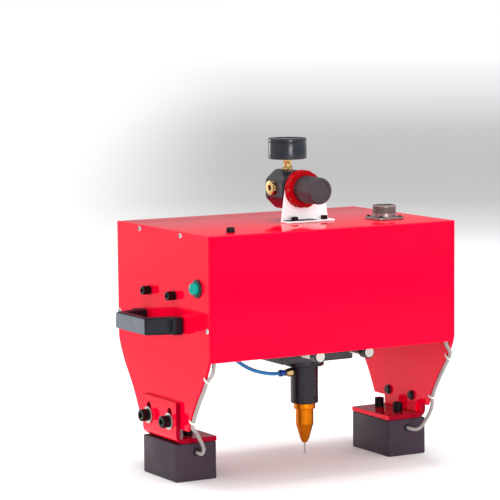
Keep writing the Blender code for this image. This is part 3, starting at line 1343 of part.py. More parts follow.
def make_gauge(looks):
    """The pressure gauge lies dial up on a stem above the body."""
    place = (REGULATOR_X, PORT_Y, 0)
    stem_profile = [
        (0, GAUGE_STEM_BOTTOM),
        (GAUGE_STEM_FLANGE_RADIUS, GAUGE_STEM_BOTTOM),
        (GAUGE_STEM_FLANGE_RADIUS, GAUGE_STEM_BOTTOM + GAUGE_STEM_FLANGE),
        (GAUGE_STEM_RADIUS, GAUGE_STEM_BOTTOM + GAUGE_STEM_FLANGE),
        (GAUGE_STEM_RADIUS, GAUGE_STEM_BOTTOM + GAUGE_STEM_LENGTH),
        (0, GAUGE_STEM_BOTTOM + GAUGE_STEM_LENGTH),
    ]
    turned("gauge_stem", stem_profile, looks["brass"], HEX_SIDES).location = place
    top = GAUGE_BOTTOM + GAUGE_HEIGHT
    dial = top - GAUGE_DIAL_DEPTH
    seat = top - GAUGE_LENS_SEAT
    case_profile = [
        (0, GAUGE_BOTTOM),
        (GAUGE_RADIUS - GAUGE_EDGE, GAUGE_BOTTOM),
        (GAUGE_RADIUS, GAUGE_BOTTOM + GAUGE_EDGE),
        (GAUGE_RADIUS, top - GAUGE_EDGE),
        (GAUGE_RADIUS - GAUGE_EDGE, top),
        (GAUGE_RADIUS - GAUGE_WALL, top),
        (GAUGE_RADIUS - GAUGE_WALL, seat),
        (GAUGE_RADIUS - GAUGE_WALL - GAUGE_RIM, seat),
        (GAUGE_RADIUS - GAUGE_WALL - GAUGE_RIM, dial),
        (0, dial),
    ]
    turned("gauge_case", case_profile, looks["black"]).location = place
    lens_low = seat + FIT_GAP
    lens_radius = GAUGE_RADIUS - GAUGE_WALL - FIT_GAP
    lens_top = lens_low + GAUGE_LENS
    lens = cylinder("gauge_lens", lens_radius, lens_low, lens_top, looks["glass"], ROUND_SIDES)
    lens.location = place

    hub_low = dial + FIT_GAP
    hub = cylinder("gauge_pointer", POINTER_HUB_RADIUS, hub_low, hub_low + POINTER_HUB, looks["white"])
    hub.location = place
    needle_low = hub_low + (POINTER_HUB - POINTER_THICKNESS) / 2
    outline = [
        (-POINTER_TAIL, -POINTER_WIDTH / 2), (POINTER_LENGTH - POINTER_WIDTH, -POINTER_WIDTH / 2),
        (POINTER_LENGTH, 0), (POINTER_LENGTH - POINTER_WIDTH, POINTER_WIDTH / 2),
        (-POINTER_TAIL, POINTER_WIDTH / 2),
    ]
    needle = prism("needle", outline, "Z", needle_low, needle_low + POINTER_THICKNESS, looks["white"])
    needle.location = place
    needle.rotation_euler = (0, 0, math.radians(POINTER_REST_DEG))
    unite(hub, needle)
    attach(assembly("gauge_pointer_turn", (REGULATOR_X, PORT_Y, dial)), hub)


def make_connector(looks):
    """The round multi-pole socket with its square flange, and the pin insert inside."""
    half, corner = CONNECTOR_FLANGE_SIDE / 2, CONNECTOR_CORNER
    outline = []
    turns = ((1, 1), (-1, 1), (-1, -1), (1, -1))
    for quarter, (side_x, side_y) in enumerate(turns):
        for step in range(5):
            angle = QUARTER_TURN * (quarter + step / 4)
            x = CONNECTOR_X + side_x * (half - corner) + corner * math.cos(angle)
            y = CONNECTOR_Y + side_y * (half - corner) + corner * math.sin(angle)
            outline.append((x, y))
    base = TOP_HEIGHT + FIT_GAP
    flange = prism("cable_connector", outline, "Z", base, base + CONNECTOR_FLANGE, looks["socket"])
    top = base + CONNECTOR_HEIGHT
    floor = top - CONNECTOR_SOCKET_DEPTH
    barrel_profile = [
        (0, base - COVER_SHEET - CONNECTOR_REAR),
        (CONNECTOR_REAR_RADIUS, base - COVER_SHEET - CONNECTOR_REAR),
        (CONNECTOR_REAR_RADIUS, base + CONNECTOR_FLANGE / 2),
        (CONNECTOR_RADIUS, base + CONNECTOR_FLANGE / 2),
        (CONNECTOR_RADIUS, top - CONNECTOR_CHAMFER),
        (CONNECTOR_RADIUS - CONNECTOR_CHAMFER, top),
        (0, top),
    ]
    barrel = turned("connector_barrel", barrel_profile, looks["socket"])
    end = top + CUT_OVERRUN
    socket = cylinder("connector_bore", CONNECTOR_SOCKET_RADIUS, floor, end, looks["socket"], ROUND_SIDES)
    place = (CONNECTOR_X, CONNECTOR_Y, 0)
    barrel.location = place
    socket.location = place
    unite(flange, barrel)
    cut(flange, socket)

    insert_low = floor + FIT_GAP
    insert_top = insert_low + INSERT_HEIGHT
    insert_radius = CONNECTOR_SOCKET_RADIUS - FIT_GAP
    insert = cylinder("connector_insert", insert_radius, insert_low, insert_top, looks["black"], MIDDLE_SIDES)
    insert.location = place
    pins = []
    for step in range(INSERT_PINS):
        angle = 2 * math.pi * step / INSERT_PINS
        pin_low, pin_top = insert_low + INSERT_HEIGHT / 2, insert_top + INSERT_PIN_HEIGHT
        pin = cylinder("insert_pin", INSERT_PIN_RADIUS, pin_low, pin_top, looks["brass"], SMALL_SIDES // 3)
        reach = INSERT_PIN_CIRCLE
        pin.location = (CONNECTOR_X + reach * math.cos(angle), CONNECTOR_Y + reach * math.sin(angle), 0)
        pins.append(pin)
    unite(insert, *pins)


def make_bulkhead(looks):
    """The small black air fitting near the front left corner of the cover."""
    base = TOP_HEIGHT + FIT_GAP
    top = base + BULKHEAD_HEIGHT
    profile = [
        (0, base - BULKHEAD_THREAD),
        (BULKHEAD_THREAD_RADIUS, base - BULKHEAD_THREAD),
        (BULKHEAD_THREAD_RADIUS, base),
        (BULKHEAD_RADIUS, base),
        (BULKHEAD_RADIUS, top),
        (BULKHEAD_BORE, top),
        (BULKHEAD_BORE, top - BULKHEAD_BORE_DEPTH),
        (0, top - BULKHEAD_BORE_DEPTH),
    ]
    turned("air_bulkhead", profile, looks["black"], SMALL_SIDES).location = (BULKHEAD_X, BULKHEAD_Y, 0)


def build():
    clear_scene()
    looks = make_looks()
    make_cover(looks)
    for side_name, sign in (("left", -1), ("right", 1)):
        make_end_plate(side_name, sign, looks)
        make_handle(side_name, sign, looks)
        make_foot(side_name, sign, looks)
        make_clamp_bolts(side_name, sign, looks)
    cord("left_magnet_lead", smooth_route(LEFT_LEAD_ROUTE, LEAD_STEPS), LEAD_RADIUS, looks["lead"])
    cord("right_magnet_lead", smooth_route(RIGHT_LEAD_ROUTE, LEAD_STEPS), LEAD_RADIUS, looks["lead"])
    make_button(looks)
    make_plate_screws(looks)
    make_x_axis(looks)
    make_y_carriage(looks, make_x_carriage(looks))
    make_panel(looks)
    make_regulator(looks)
    make_connector(looks)
    make_bulkhead(looks)


build()
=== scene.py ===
import math

import bmesh
import bpy
from mathutils import Euler, Matrix, Vector


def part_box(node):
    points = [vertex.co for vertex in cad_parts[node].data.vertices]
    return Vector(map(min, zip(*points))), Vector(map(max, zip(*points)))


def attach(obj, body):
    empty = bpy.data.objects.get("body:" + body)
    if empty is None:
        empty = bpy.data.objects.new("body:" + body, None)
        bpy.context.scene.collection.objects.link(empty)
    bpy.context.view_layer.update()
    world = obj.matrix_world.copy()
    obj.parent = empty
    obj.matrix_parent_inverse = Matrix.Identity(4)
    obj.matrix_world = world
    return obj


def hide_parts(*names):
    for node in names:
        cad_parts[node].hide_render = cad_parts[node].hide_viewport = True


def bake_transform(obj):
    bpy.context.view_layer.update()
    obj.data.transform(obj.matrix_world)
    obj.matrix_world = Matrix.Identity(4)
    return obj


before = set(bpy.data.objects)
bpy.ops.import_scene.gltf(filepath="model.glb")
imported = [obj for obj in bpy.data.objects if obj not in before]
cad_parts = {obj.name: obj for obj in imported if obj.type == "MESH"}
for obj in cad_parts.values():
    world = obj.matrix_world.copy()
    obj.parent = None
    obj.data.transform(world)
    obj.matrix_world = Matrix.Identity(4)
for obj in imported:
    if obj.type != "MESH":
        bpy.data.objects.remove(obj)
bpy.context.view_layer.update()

# Camera
# A long lens at about the height of the housing's top, some 30 degrees to the left of its
# front. It stands level but for a small roll.
CAMERA_AZIMUTH = math.radians(-29.596)
CAMERA_ELEVATION = math.radians(6.225)
CAMERA_ROLL = math.radians(-0.533)
CAMERA_DISTANCE = 2.6268
CAMERA_TARGET = Vector((-0.0435, 0.0, 0.2338))
LENS_OVER_PICTURE = 4.9266
FAR_CLIP = 1000

toward = Vector((
    math.sin(CAMERA_AZIMUTH) * math.cos(CAMERA_ELEVATION),
    -math.cos(CAMERA_AZIMUTH) * math.cos(CAMERA_ELEVATION),
    math.sin(CAMERA_ELEVATION),
))
level_right = Vector((math.cos(CAMERA_AZIMUTH), math.sin(CAMERA_AZIMUTH), 0))
level_up = toward.cross(level_right)
right = level_right * math.cos(CAMERA_ROLL) + level_up * math.sin(CAMERA_ROLL)
up = toward.cross(right)
camera_data = bpy.data.cameras.new("photo_camera")
camera_data.lens = LENS_OVER_PICTURE * camera_data.sensor_width
camera_data.clip_end = FAR_CLIP
camera = bpy.data.objects.new("photo_camera", camera_data)
facing = Matrix((right, up, toward)).transposed().to_quaternion()
camera.matrix_world = Matrix.LocRotScale(CAMERA_TARGET + toward * CAMERA_DISTANCE, facing, None)
bpy.context.scene.collection.objects.link(camera)
bpy.context.scene.camera = camera
bpy.context.scene.view_settings.view_transform = "Standard"

# Studio
# White all round, with soft lamps in front, above and to the left. Beside and behind the machine
# floor and wall turn a soft grey, which its gloss shows, as it does only the two narrow strips.
FLOOR_HALF = 400.0
FLOOR_ROUGHNESS = 0.9
FLOOR_WHITE = (0.95, 0.95, 0.95, 1)
FLOOR_TONES = (
    (0.0, 0.95), (1.6, 0.95), (2.1, 0.83), (2.6, 0.63), (3.2, 0.50), (4.2, 0.49),
    (5.0, 0.51), (6.0, 0.55), (7.3, 0.66), (9.2, 0.79), (11.9, 0.88), (14.5, 0.97),
)
DARK_WAY = Vector((0.87, -0.49, 0))
DARK_START, DARK_END = -0.62, 0.0
LEFT_WAY = Vector((-0.915, 0.4035, 0))
LEFT_TONES = ((0.0, 0.95), (0.315, 0.95), (0.55, 0.62), (0.9, 0.55), (1.6, 0.60), (2.4, 0.75), (3.6, 0.95))
LAMPS = (
    ("front lamp", (-0.3, -2.9, 1.1), (1.8, 1.0), 24.0, False),
    ("left lamp", (-2.5, 0.9, 0.5), (1.4, 0.8), 6.0, False),
    ("top lamp", (0.0, 0.25, 2.6), (1.4, 1.2), 34.0, False),
    ("front strip", (-0.42, -2.3, 0.22), (0.8, 0.4), 11.0, True),
    ("back strip", (-0.75, 2.5, 0.22), (0.7, 0.4), 4.2, True),
)
WORLD_LIGHT = 1.10
WORLD_WHITE = (1, 1, 1, 1)
WALL_GREY = (0.30, 0.30, 0.31, 1)
WALL_WAY = Vector((0.48, 0.87, 0.10))
WALL_START, WALL_END = 0.70, 0.97


def add_node(tree, kind, settings=None, **inputs):
    """A shader node with its options and inputs set; an input may be another node's output."""
    made = tree.nodes.new(kind)
    for option, value in (settings or {}).items():
        setattr(made, option, value)
    for name, value in inputs.items():
        socket = made.inputs[int(name[1:])] if name[0] == "_" else made.inputs[name.replace("_", " ")]
        if isinstance(value, bpy.types.NodeSocket):
            tree.links.new(value, socket)
        else:
            socket.default_value = value
    return made


def new_material(name):
    material = bpy.data.materials.new(name)
    material.use_nodes = True
    return material, material.node_tree, material.node_tree.nodes["Principled BSDF"]


def worked(tree, operation, first, second=0.0):
    """What a sum makes of one or two values."""
    return add_node(tree, "ShaderNodeMath", {"operation": operation}, _0=first, _1=second).outputs[0]


def mixed(tree, share, first, second):
    """A colour between two others."""
    return add_node(tree, "ShaderNodeMix", {"data_type": "RGBA"}, _0=share, _6=first, _7=second).outputs[2]


def along(tree, place, way):
    """How far a place lies along a way."""
    product = add_node(tree, "ShaderNodeVectorMath", {"operation": "DOT_PRODUCT"}, _0=place, _1=way)
    return product.outputs["Value"]


def soft_step(tree, value, start, end):
    """A soft step from 0 to 1 between two values."""
    step = add_node(tree, "ShaderNodeMapRange", {"interpolation_type": "SMOOTHSTEP"},
                    Value=value, From_Min=start, From_Max=end)
    return step.outputs["Result"]


def tone_ramp(tree, distance, tones):
    """The grey at a distance, from pairs of distance and grey."""
    ramp = add_node(tree, "ShaderNodeValToRGB", Fac=worked(tree, "DIVIDE", distance, tones[-1][0]))
    stops = ramp.color_ramp.elements
    while len(stops) < len(tones):
        stops.new(1.0)
    for stop, (reach, grey) in zip(stops, tones):
        stop.position = reach / tones[-1][0]
        stop.color = (grey, grey, grey, 1)
    return ramp.outputs["Color"]


bpy.ops.mesh.primitive_plane_add(size=FLOOR_HALF * 2)
floor = bpy.context.object
floor.name = "studio_floor"
floor_paint, tree, shader = new_material("studio floor")
spot = add_node(tree, "ShaderNodeTexCoord").outputs["Object"]
distance = add_node(tree, "ShaderNodeVectorMath", {"operation": "LENGTH"}, _0=spot).outputs["Value"]
dark = soft_step(tree, along(tree, spot, DARK_WAY), DARK_START, DARK_END)
tone = mixed(tree, dark, FLOOR_WHITE, tone_ramp(tree, distance, FLOOR_TONES))
aside = along(tree, spot, LEFT_WAY)
beside = worked(tree, "GREATER_THAN", aside, LEFT_TONES[1][0])
tone = mixed(tree, beside, tone, tone_ramp(tree, aside, LEFT_TONES))
tree.links.new(tone, shader.inputs["Base Color"])
shader.inputs["Roughness"].default_value = FLOOR_ROUGHNESS
shader.inputs["Specular IOR Level"].default_value = 0.0
floor.data.materials.append(floor_paint)

for lamp_name, place, size, power, in_gloss in LAMPS:
    lamp_data = bpy.data.lights.new(lamp_name, "AREA")
    lamp_data.shape = "RECTANGLE"
    lamp_data.size, lamp_data.size_y = size
    lamp_data.energy = power
    lamp = bpy.data.objects.new(lamp_name, lamp_data)
    lamp.location = place
    lamp.visible_glossy = in_gloss
    lamp.rotation_euler = (Vector(place) - CAMERA_TARGET).to_track_quat("Z", "Y").to_euler()
    bpy.context.scene.collection.objects.link(lamp)

world = bpy.data.worlds.new("studio")
world.use_nodes = True
bpy.context.scene.world = world
tree = world.node_tree
background = tree.nodes["Background"]
way = add_node(tree, "ShaderNodeTexCoord").outputs["Generated"]
wall = soft_step(tree, along(tree, way, WALL_WAY), WALL_START, WALL_END)
path = add_node(tree, "ShaderNodeLightPath").outputs
seen = worked(tree, "MAXIMUM", path["Is Camera Ray"], path["Is Glossy Ray"])
seen = worked(tree, "MAXIMUM", seen, path["Is Transmission Ray"])
strength = add_node(tree, "ShaderNodeMapRange", Value=seen, To_Min=WORLD_LIGHT, To_Max=1.0)
tree.links.new(mixed(tree, wall, WORLD_WHITE, WALL_GREY), background.inputs["Color"])
tree.links.new(strength.outputs["Result"], background.inputs["Strength"])

# Cover
# One sheet of 2 mm steel, folded over front, top and back with a hem at each end. It is
# powder-coated in a glossy red that has a faint orange peel.
SHEET = 0.002
HEM = 0.008
FOLD_RADIUS = 0.003
FOLD_STEPS = 5
SHEET_EDGE = 0.0003
MASK_START, MASK_END = 0.35, 0.65
RED = (0.95, 0.0, 0.028)
GLOSS_TINT = (1.0, 0.10, 0.16, 1)


def surface_grain():
    """Node group: fine and broad noise in the piece's own space, as a height and a mask."""
    group = bpy.data.node_groups.new("surface grain", "ShaderNodeTree")
    for name, kind in (("Fine Scale", "NodeSocketFloat"), ("Broad Scale", "NodeSocketFloat")):
        group.interface.new_socket(name, in_out="INPUT", socket_type=kind)
    for name in ("Height", "Mask"):
        group.interface.new_socket(name, in_out="OUTPUT", socket_type="NodeSocketFloat")
    entry, leave = group.nodes.new("NodeGroupInput"), group.nodes.new("NodeGroupOutput")
    space = add_node(group, "ShaderNodeTexCoord").outputs["Object"]
    scales = entry.outputs
    fine = add_node(group, "ShaderNodeTexNoise", Vector=space, Scale=scales["Fine Scale"], Detail=3.0)
    broad = add_node(group, "ShaderNodeTexNoise", Vector=space, Scale=scales["Broad Scale"], Detail=5.0)
    group.links.new(fine.outputs[0], leave.inputs["Height"])
    group.links.new(soft_step(group, broad.outputs[0], MASK_START, MASK_END), leave.inputs["Mask"])
    return group


GRAIN = surface_grain()


def finish(name, colour, roughness, metallic=0.0, fine=900.0, broad=14.0, bump=0.00002, spread=0.05,
           shade=0.9, specular=0.5):
    """A surface with grain: its roughness spreads and its colour shades with the broad mask."""
    material, tree, shader = new_material(name)
    grain = add_node(tree, "ShaderNodeGroup", {"node_tree": GRAIN}, Fine_Scale=fine, Broad_Scale=broad)
    mask = grain.outputs["Mask"]
    darker = tuple(part * shade for part in colour)
    tint = mixed(tree, mask, (*darker, 1), (*colour, 1))
    rough = add_node(tree, "ShaderNodeMapRange", Value=mask, To_Min=roughness + spread, To_Max=roughness)
    relief = add_node(tree, "ShaderNodeBump", Height=grain.outputs["Height"], Strength=1.0, Distance=bump)
    tree.links.new(tint, shader.inputs["Base Color"])
    tree.links.new(rough.outputs["Result"], shader.inputs["Roughness"])
    tree.links.new(relief.outputs["Normal"], shader.inputs["Normal"])
    shader.inputs["Metallic"].default_value = metallic
    shader.inputs["Specular IOR Level"].default_value = specular
    return material


def shader_of(material):
    return material.node_tree.nodes["Principled BSDF"]


def corners(node):
    """The lowest and the highest corner of a solid's box."""
    low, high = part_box(node)
    return Vector(low), Vector(high)


def piece_from(name, work, sharp_angle=35):
    """The finished mesh as an object, smooth but for edges sharper than the angle."""
    bmesh.ops.remove_doubles(work, verts=work.verts, dist=0.00001)
    bmesh.ops.recalc_face_normals(work, faces=work.faces)
    mesh = bpy.data.meshes.new(name)
    work.to_mesh(mesh)
    work.free()
    mesh.shade_smooth()
    mesh.set_sharp_from_angle(angle=math.radians(sharp_angle))
    piece = bpy.data.objects.new(name, mesh)
    bpy.context.scene.collection.objects.link(piece)
    return piece


def soft_edges(piece, width, segments=2, angle=30):
    bevel = piece.modifiers.new("soft edges", "BEVEL")
    bevel.width = width
    bevel.segments = segments
    bevel.limit_method = "ANGLE"
    bevel.angle_limit = math.radians(angle)
    bevel.harden_normals = True
    return piece


def fit(piece, look, body, slot, *nodes):
    """Gives a piece its finish and the body that it rides on, and the solids that it stands for."""
    piece.data.materials.append(look)
    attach(piece, body)
    if nodes:
        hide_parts(*nodes)


def arc(centre, radius, start, end, steps):
    """Points of an arc in a plane, from one angle to another in degrees."""
    found = []
    for step in range(steps + 1):
        angle = math.radians(start + (end - start) * step / steps)
        found.append((centre[0] + radius * math.cos(angle), centre[1] + radius * math.sin(angle)))
    return found


red_paint = finish("glossy red paint", RED, 0.07, fine=420.0, broad=9.0, bump=0.000012, spread=0.03,
                   shade=0.96, specular=0.25)
shader_of(red_paint).inputs["Specular Tint"].default_value = GLOSS_TINT

low, high = corners("cover_shell")
half_depth = high.y
fold = [(low.y, low.z)]
fold += arc((low.y + FOLD_RADIUS, high.z - FOLD_RADIUS), FOLD_RADIUS, 180, 90, FOLD_STEPS)
fold += arc((high.y - FOLD_RADIUS, high.z - FOLD_RADIUS), FOLD_RADIUS, 90, 0, FOLD_STEPS)
fold.append((high.y, low.z))
hem_line = [(max(-half_depth + HEM, min(half_depth - HEM, y)), min(z, high.z - HEM)) for y, z in fold]
work = bmesh.new()
loops = [
    [work.verts.new((x, y, z)) for y, z in line]
    for x, line in ((low.x, hem_line), (low.x, fold), (high.x, fold), (high.x, hem_line))
]
for first, second in zip(loops, loops[1:]):
    for step in range(len(fold) - 1):
        work.faces.new((first[step], first[step + 1], second[step + 1], second[step]))
cover = piece_from("cover", work)
wall = cover.modifiers.new("sheet", "SOLIDIFY")
wall.thickness = SHEET
wall.offset = -1
wall.use_even_offset = True
soft_edges(cover, SHEET_EDGE, 1, 50)
fit(cover, red_paint, "housing", "red_paint", "cover_shell")

# End plates
# Laser-cut 3 mm steel, one at each end, that run down into a curved leg and a stepped tongue.
# Turned bosses for the two rods are welded inside. Same red coat as the cover.
LEG_SHOULDER = 0.138
LEG_FOOT_HALF = 0.0535
LEG_STEP = 0.056
TONGUE_HALF = 0.031
LEG_CURVE_STEPS = 6
LEG_CURVE_SHARES = (
    (0.0, 0.0), (0.06, 0.10), (0.25, 0.305), (0.575, 0.56), (0.775, 0.745), (0.885, 0.865), (1.0, 1.0),
)
STEP_FILLET = 0.003
FILLET_STEPS = 5
TONGUE_ABOVE_FOOT = 0.0053
PLATE_THICKNESS = 0.003
PLATE_EDGE = 0.0005
BOSS_BORE = 0.0063
BOSS_RADIUS = 0.012
BOSS_HEIGHT = 0.010
BOSS_EDGE = 0.0008
BOSS_SIDES = 40
SIDES = (("left", -1), ("right", 1))


def smooth_route(points, steps):
    """Points along a smooth curve that goes through all the given points."""
    places = [Vector(point) for point in points]
    padded = [places[0] * 2 - places[1], *places, places[-1] * 2 - places[-2]]
    found = []
    for before, here, after, beyond in zip(padded, padded[1:], padded[2:], padded[3:]):
        for step in range(steps):
            t = step / steps
            found.append(
                (here * 2 + (after - before) * t
                 + (before * 2 - here * 5 + after * 4 - beyond) * t ** 2
                 + (here * 3 - before - after * 3 + beyond) * t ** 3) / 2
            )
    found.append(places[-1])
    return found


def slab(name, outline, axis, start, end):
    """An outline, given without the axis' own coordinate, made thick along that axis."""
    at = "XYZ".index(axis)
    work = bmesh.new()
    base = work.faces.new([work.verts.new((*point[:at], start, *point[at:])) for point in outline])
    grown = bmesh.ops.extrude_face_region(work, geom=[base])["geom"]
    step = Vector()
    step[at] = end - start
    moved = [item for item in grown if isinstance(item, bmesh.types.BMVert)]
    bmesh.ops.translate(work, vec=step, verts=moved)
    return piece_from(name, work)


TURNS = {
    "Z": (0, 0, 0),
    "-Z": (math.pi, 0, 0),
    "X": (0, math.pi / 2, 0),
    "-X": (0, -math.pi / 2, 0),
    "Y": (-math.pi / 2, 0, 0),
    "-Y": (math.pi / 2, 0, 0),
}


def turned(name, levels, axis, place, sides, turn=0.0):
    """Levels of (radius, height) or (radius, height, shape) turned round an axis, as on a lathe."""
    work = bmesh.new()
    rings = []
    for radius, height, *shape in levels:
        ring = []
        for step in range(sides if radius else 1):
            angle = 2 * math.pi * step / sides
            reach = radius * (shape[0](angle) if shape else 1)
            point = (reach * math.cos(angle + turn), reach * math.sin(angle + turn), height)
            ring.append(work.verts.new(point))
        rings.append(ring)
    if levels[0][0]:
        rings.append(rings[0])
    for first, second in zip(rings, rings[1:]):
        for step in range(sides):
            after = step + 1
            ends = [first[step % len(first)], first[after % len(first)]]
            ends += [second[after % len(second)], second[step % len(second)]]
            unique = list(dict.fromkeys(ends))
            if len(unique) > 2:
                work.faces.new(unique)
    matrix = Matrix.LocRotScale(Vector(place), Euler(TURNS[axis]), None)
    bmesh.ops.transform(work, matrix=matrix, verts=work.verts)
    return piece_from(name, work)


def plate_outside(side_name):
    """Where the outside of an end plate lies along X."""
    return max((corner.x for corner in corners(side_name + "_end_plate")), key=abs)


shoulder = [
    (half_depth - (half_depth - LEG_FOOT_HALF) * across, LEG_SHOULDER - (LEG_SHOULDER - LEG_STEP) * down, 0)
    for across, down in LEG_CURVE_SHARES
]
tongue_bottom = corners("left_foot_bracket")[0].z + TONGUE_ABOVE_FOOT
side = [(half_depth, high.z)] + [(p.x, p.y) for p in smooth_route(shoulder, LEG_CURVE_STEPS)]
side += arc((TONGUE_HALF + STEP_FILLET, LEG_STEP - STEP_FILLET), STEP_FILLET, 90, 180, FILLET_STEPS)
side.append((TONGUE_HALF, tongue_bottom))
plate_outline = side + [(-across, height) for across, height in reversed(side)]
for side_name, sign in SIDES:
    outer = plate_outside(side_name)
    face = outer - sign * PLATE_THICKNESS
    plate = soft_edges(slab(side_name + "_plate", plate_outline, "X", face, outer), PLATE_EDGE)
    fit(plate, red_paint, "housing", "red_paint", side_name + "_end_plate")
    for label in ("front", "back"):
        rod_low, rod_high = corners("x_rod_" + label)
        middle = (rod_low + rod_high) / 2
        levels = [(BOSS_BORE, 0), (BOSS_RADIUS, 0), (BOSS_RADIUS, BOSS_HEIGHT - BOSS_EDGE),
                  (BOSS_RADIUS - BOSS_EDGE, BOSS_HEIGHT), (BOSS_BORE, BOSS_HEIGHT)]
        boss = turned(side_name + "_boss_" + label, levels, "-X" if sign > 0 else "X",
                      (face, middle.y, middle.z), BOSS_SIDES)
        fit(boss, red_paint, "housing", "red_paint")

# Plate screws
# Small zinc-plated pan-head screws hold each end plate to the cover's hems: two under the
# top edge and two low on the sides.
ZINC = (0.62, 0.62, 0.60)
PAN_RADIUS = 0.0029
PAN_HEIGHT = 0.0017
PAN_SIDES = 24
PAN_PLACES = ((-0.0425, 0.2590), (0.0490, 0.2590), (-0.0985, 0.166), (0.0985, 0.166))
zinc = finish("zinc plate", ZINC, 0.28, 1.0, fine=1500.0, broad=160.0, spread=0.12, shade=0.8)


def hexagon(angle):
    """A shape for turned levels: a hexagon, as a share of the circle through its corners."""
    return math.cos(math.pi / 6) / math.cos(angle % (math.pi / 3) - math.pi / 6)


def pan_levels(radius, height):
    """A domed head with a shallow hexagon recess."""
    recess, floor = radius * 0.45, height * 0.35
    dome = [(radius * math.cos(angle), height * math.sin(angle)) for angle in (1.0, 0.7, 0.35, 0.0)]
    return [(0, floor), (recess, floor, hexagon), (recess, height * 0.97, hexagon), *dome, (radius, -0.0002),
            (0, -0.0002)]


for side_name, sign in SIDES:
    for index, (y, z) in enumerate(PAN_PLACES):
        screw = turned(f"{side_name}_pan_screw_{index}", pan_levels(PAN_RADIUS, PAN_HEIGHT),
                       "X" if sign > 0 else "-X", (plate_outside(side_name), y, z), PAN_SIDES)
        fit(screw, zinc, "housing", "black_oxide")

# Handles
# Moulded black nylon, a straight grip on two leaning arms with a pad at each foot. A thin grey
# sheet on the grip's outer face is a painted reflection of the bright studio.
GRIP_RADIUS = 0.003
HANDLE_HALF, HANDLE_ARM, HANDLE_PAD_HALF = 0.033, 0.0415, 0.0485
HANDLE_REACH, HANDLE_BAR, HANDLE_PAD = 0.0376, 0.009, 0.0125
GRIP_EDGE = 0.0022
STRIP_THICKNESS, STRIP_INSET, STRIP_SHORT, STRIP_ROUNDING = 0.0004, 0.0012, 0.0008, 0.001
NYLON = (0.008, 0.009, 0.015)
# Painted reflection: the grey that the bright studio gives the grip's outer face.
GRIP_SHEEN_GREY = (0.125, 0.145, 0.18)


def rounded(line, radius, steps=3, closed=False):
    """A line with its corners rounded, each by no more than fits in its shorter neighbour."""
    found = []
    count = len(line)
    for index, corner in enumerate(line):
        if not closed and index in (0, count - 1):
            found.append(tuple(corner))
            continue
        here = Vector(corner[:2])
        before = Vector(line[index - 1][:2]) - here
        after = Vector(line[(index + 1) % count][:2]) - here
        reach = min(radius, before.length * 0.45, after.length * 0.45)
        start, end = here + before.normalized() * reach, here + after.normalized() * reach
        for step in range(steps + 1):
            t = step / steps
            found.append(tuple(start * (1 - t) ** 2 + here * 2 * t * (1 - t) + end * t ** 2))
    return found


def rectangle(left, bottom, right, top):
    return [(left, bottom), (right, bottom), (right, top), (left, top)]


nylon = finish("black nylon", NYLON, 0.36, fine=2200.0, broad=60.0, bump=0.00003, spread=0.12, shade=0.7,
               specular=0.16)
painted_reflection_strip = finish("grey strip, painted reflection", GRIP_SHEEN_GREY, 0.3, fine=1800.0, broad=60.0, spread=0.1, shade=0.85)
for side_name, sign in SIDES:
    low, high = corners(side_name + "_handle")
    start = min(abs(low.x), abs(high.x))
    half = [(0, HANDLE_PAD_HALF), (HANDLE_PAD, HANDLE_PAD_HALF), (HANDLE_PAD, HANDLE_ARM)]
    half.append((HANDLE_REACH, HANDLE_HALF))
    hollow = [(HANDLE_REACH - HANDLE_BAR, HANDLE_HALF - HANDLE_BAR), (0, HANDLE_ARM - HANDLE_BAR)]
    outline = half + [(out, -across) for out, across in reversed(half)]
    outline += [(out, -across) for out, across in reversed(hollow)] + hollow
    outline = rounded(outline, GRIP_RADIUS, 4, closed=True)
    placed = [(sign * (start + out), across) for out, across in outline]
    handle = soft_edges(slab(side_name + "_grip", placed, "Z", low.z, high.z), GRIP_EDGE, 3, 50)
    fit(handle, nylon, "housing", "black_plastic", side_name + "_handle")
    # A thin grey sheet on the grip's outer face, a painted reflection.
    half_strip, grip_face = HANDLE_HALF - STRIP_SHORT, start + HANDLE_REACH
    strip = rectangle(-half_strip, low.z + STRIP_INSET, half_strip, high.z - STRIP_INSET)
    insert = slab(side_name + "_reflection_strip", rounded(strip, STRIP_ROUNDING, 3, closed=True), "X",
                  sign * (grip_face - STRIP_THICKNESS), sign * (grip_face + STRIP_THICKNESS))
    fit(insert, painted_reflection_strip, "housing", "black_plastic")

# Start button
# A panel button: a black threaded body with a round bezel, and a green cap that is pressed
# into the left plate.
GREEN = (0.0, 0.31, 0.235)
BEZEL_BLACK = (0.015, 0.015, 0.017)
BEZEL_HEIGHT, BEZEL_RADIUS, BEZEL_ROUNDING = 0.0025, 0.0095, 0.0007
BUTTON_BODY_RADIUS, BUTTON_BODY_LENGTH = 0.0078, 0.0249
CAP_HOLE = 0.0066
CAP_RADIUS, CAP_SHOULDER, CAP_LENGTH, CAP_ROUNDING = 0.0062, 0.0102, 0.0121, 0.0012
button_black = finish("black bezel", BEZEL_BLACK, 0.3, fine=1800.0, broad=90.0, spread=0.1)
green = finish("green cap", GREEN, 0.18, broad=80.0, shade=0.85, specular=0.15)
low, high = corners("start_button_housing")
middle = (low + high) / 2
place = (low.x + BEZEL_HEIGHT, middle.y, middle.z)
rim = [(CAP_HOLE, 0.0023), (BEZEL_RADIUS, 0.0023), (BEZEL_RADIUS, 0)]
levels = [(CAP_HOLE, 0.0005), *rounded(rim, BEZEL_ROUNDING), (BUTTON_BODY_RADIUS, 0),
          (BUTTON_BODY_RADIUS, -0.0033), (BUTTON_BODY_RADIUS, -BUTTON_BODY_LENGTH), (0, -BUTTON_BODY_LENGTH),
          (0, 0.0005)]
bezel = turned("button_bezel", levels, "-X", place, 48)
fit(bezel, button_black, "housing", "black_plastic", "start_button_housing")
levels = [(0.008, -0.0036), (0.0105, -0.0036, hexagon), (0.0105, -0.0066, hexagon), (0.008, -0.0066)]
nut = turned("button_nut", levels, "-X", place, 48)
fit(nut, zinc, "housing", "black_plastic")
low, high = corners("start_button_cap")
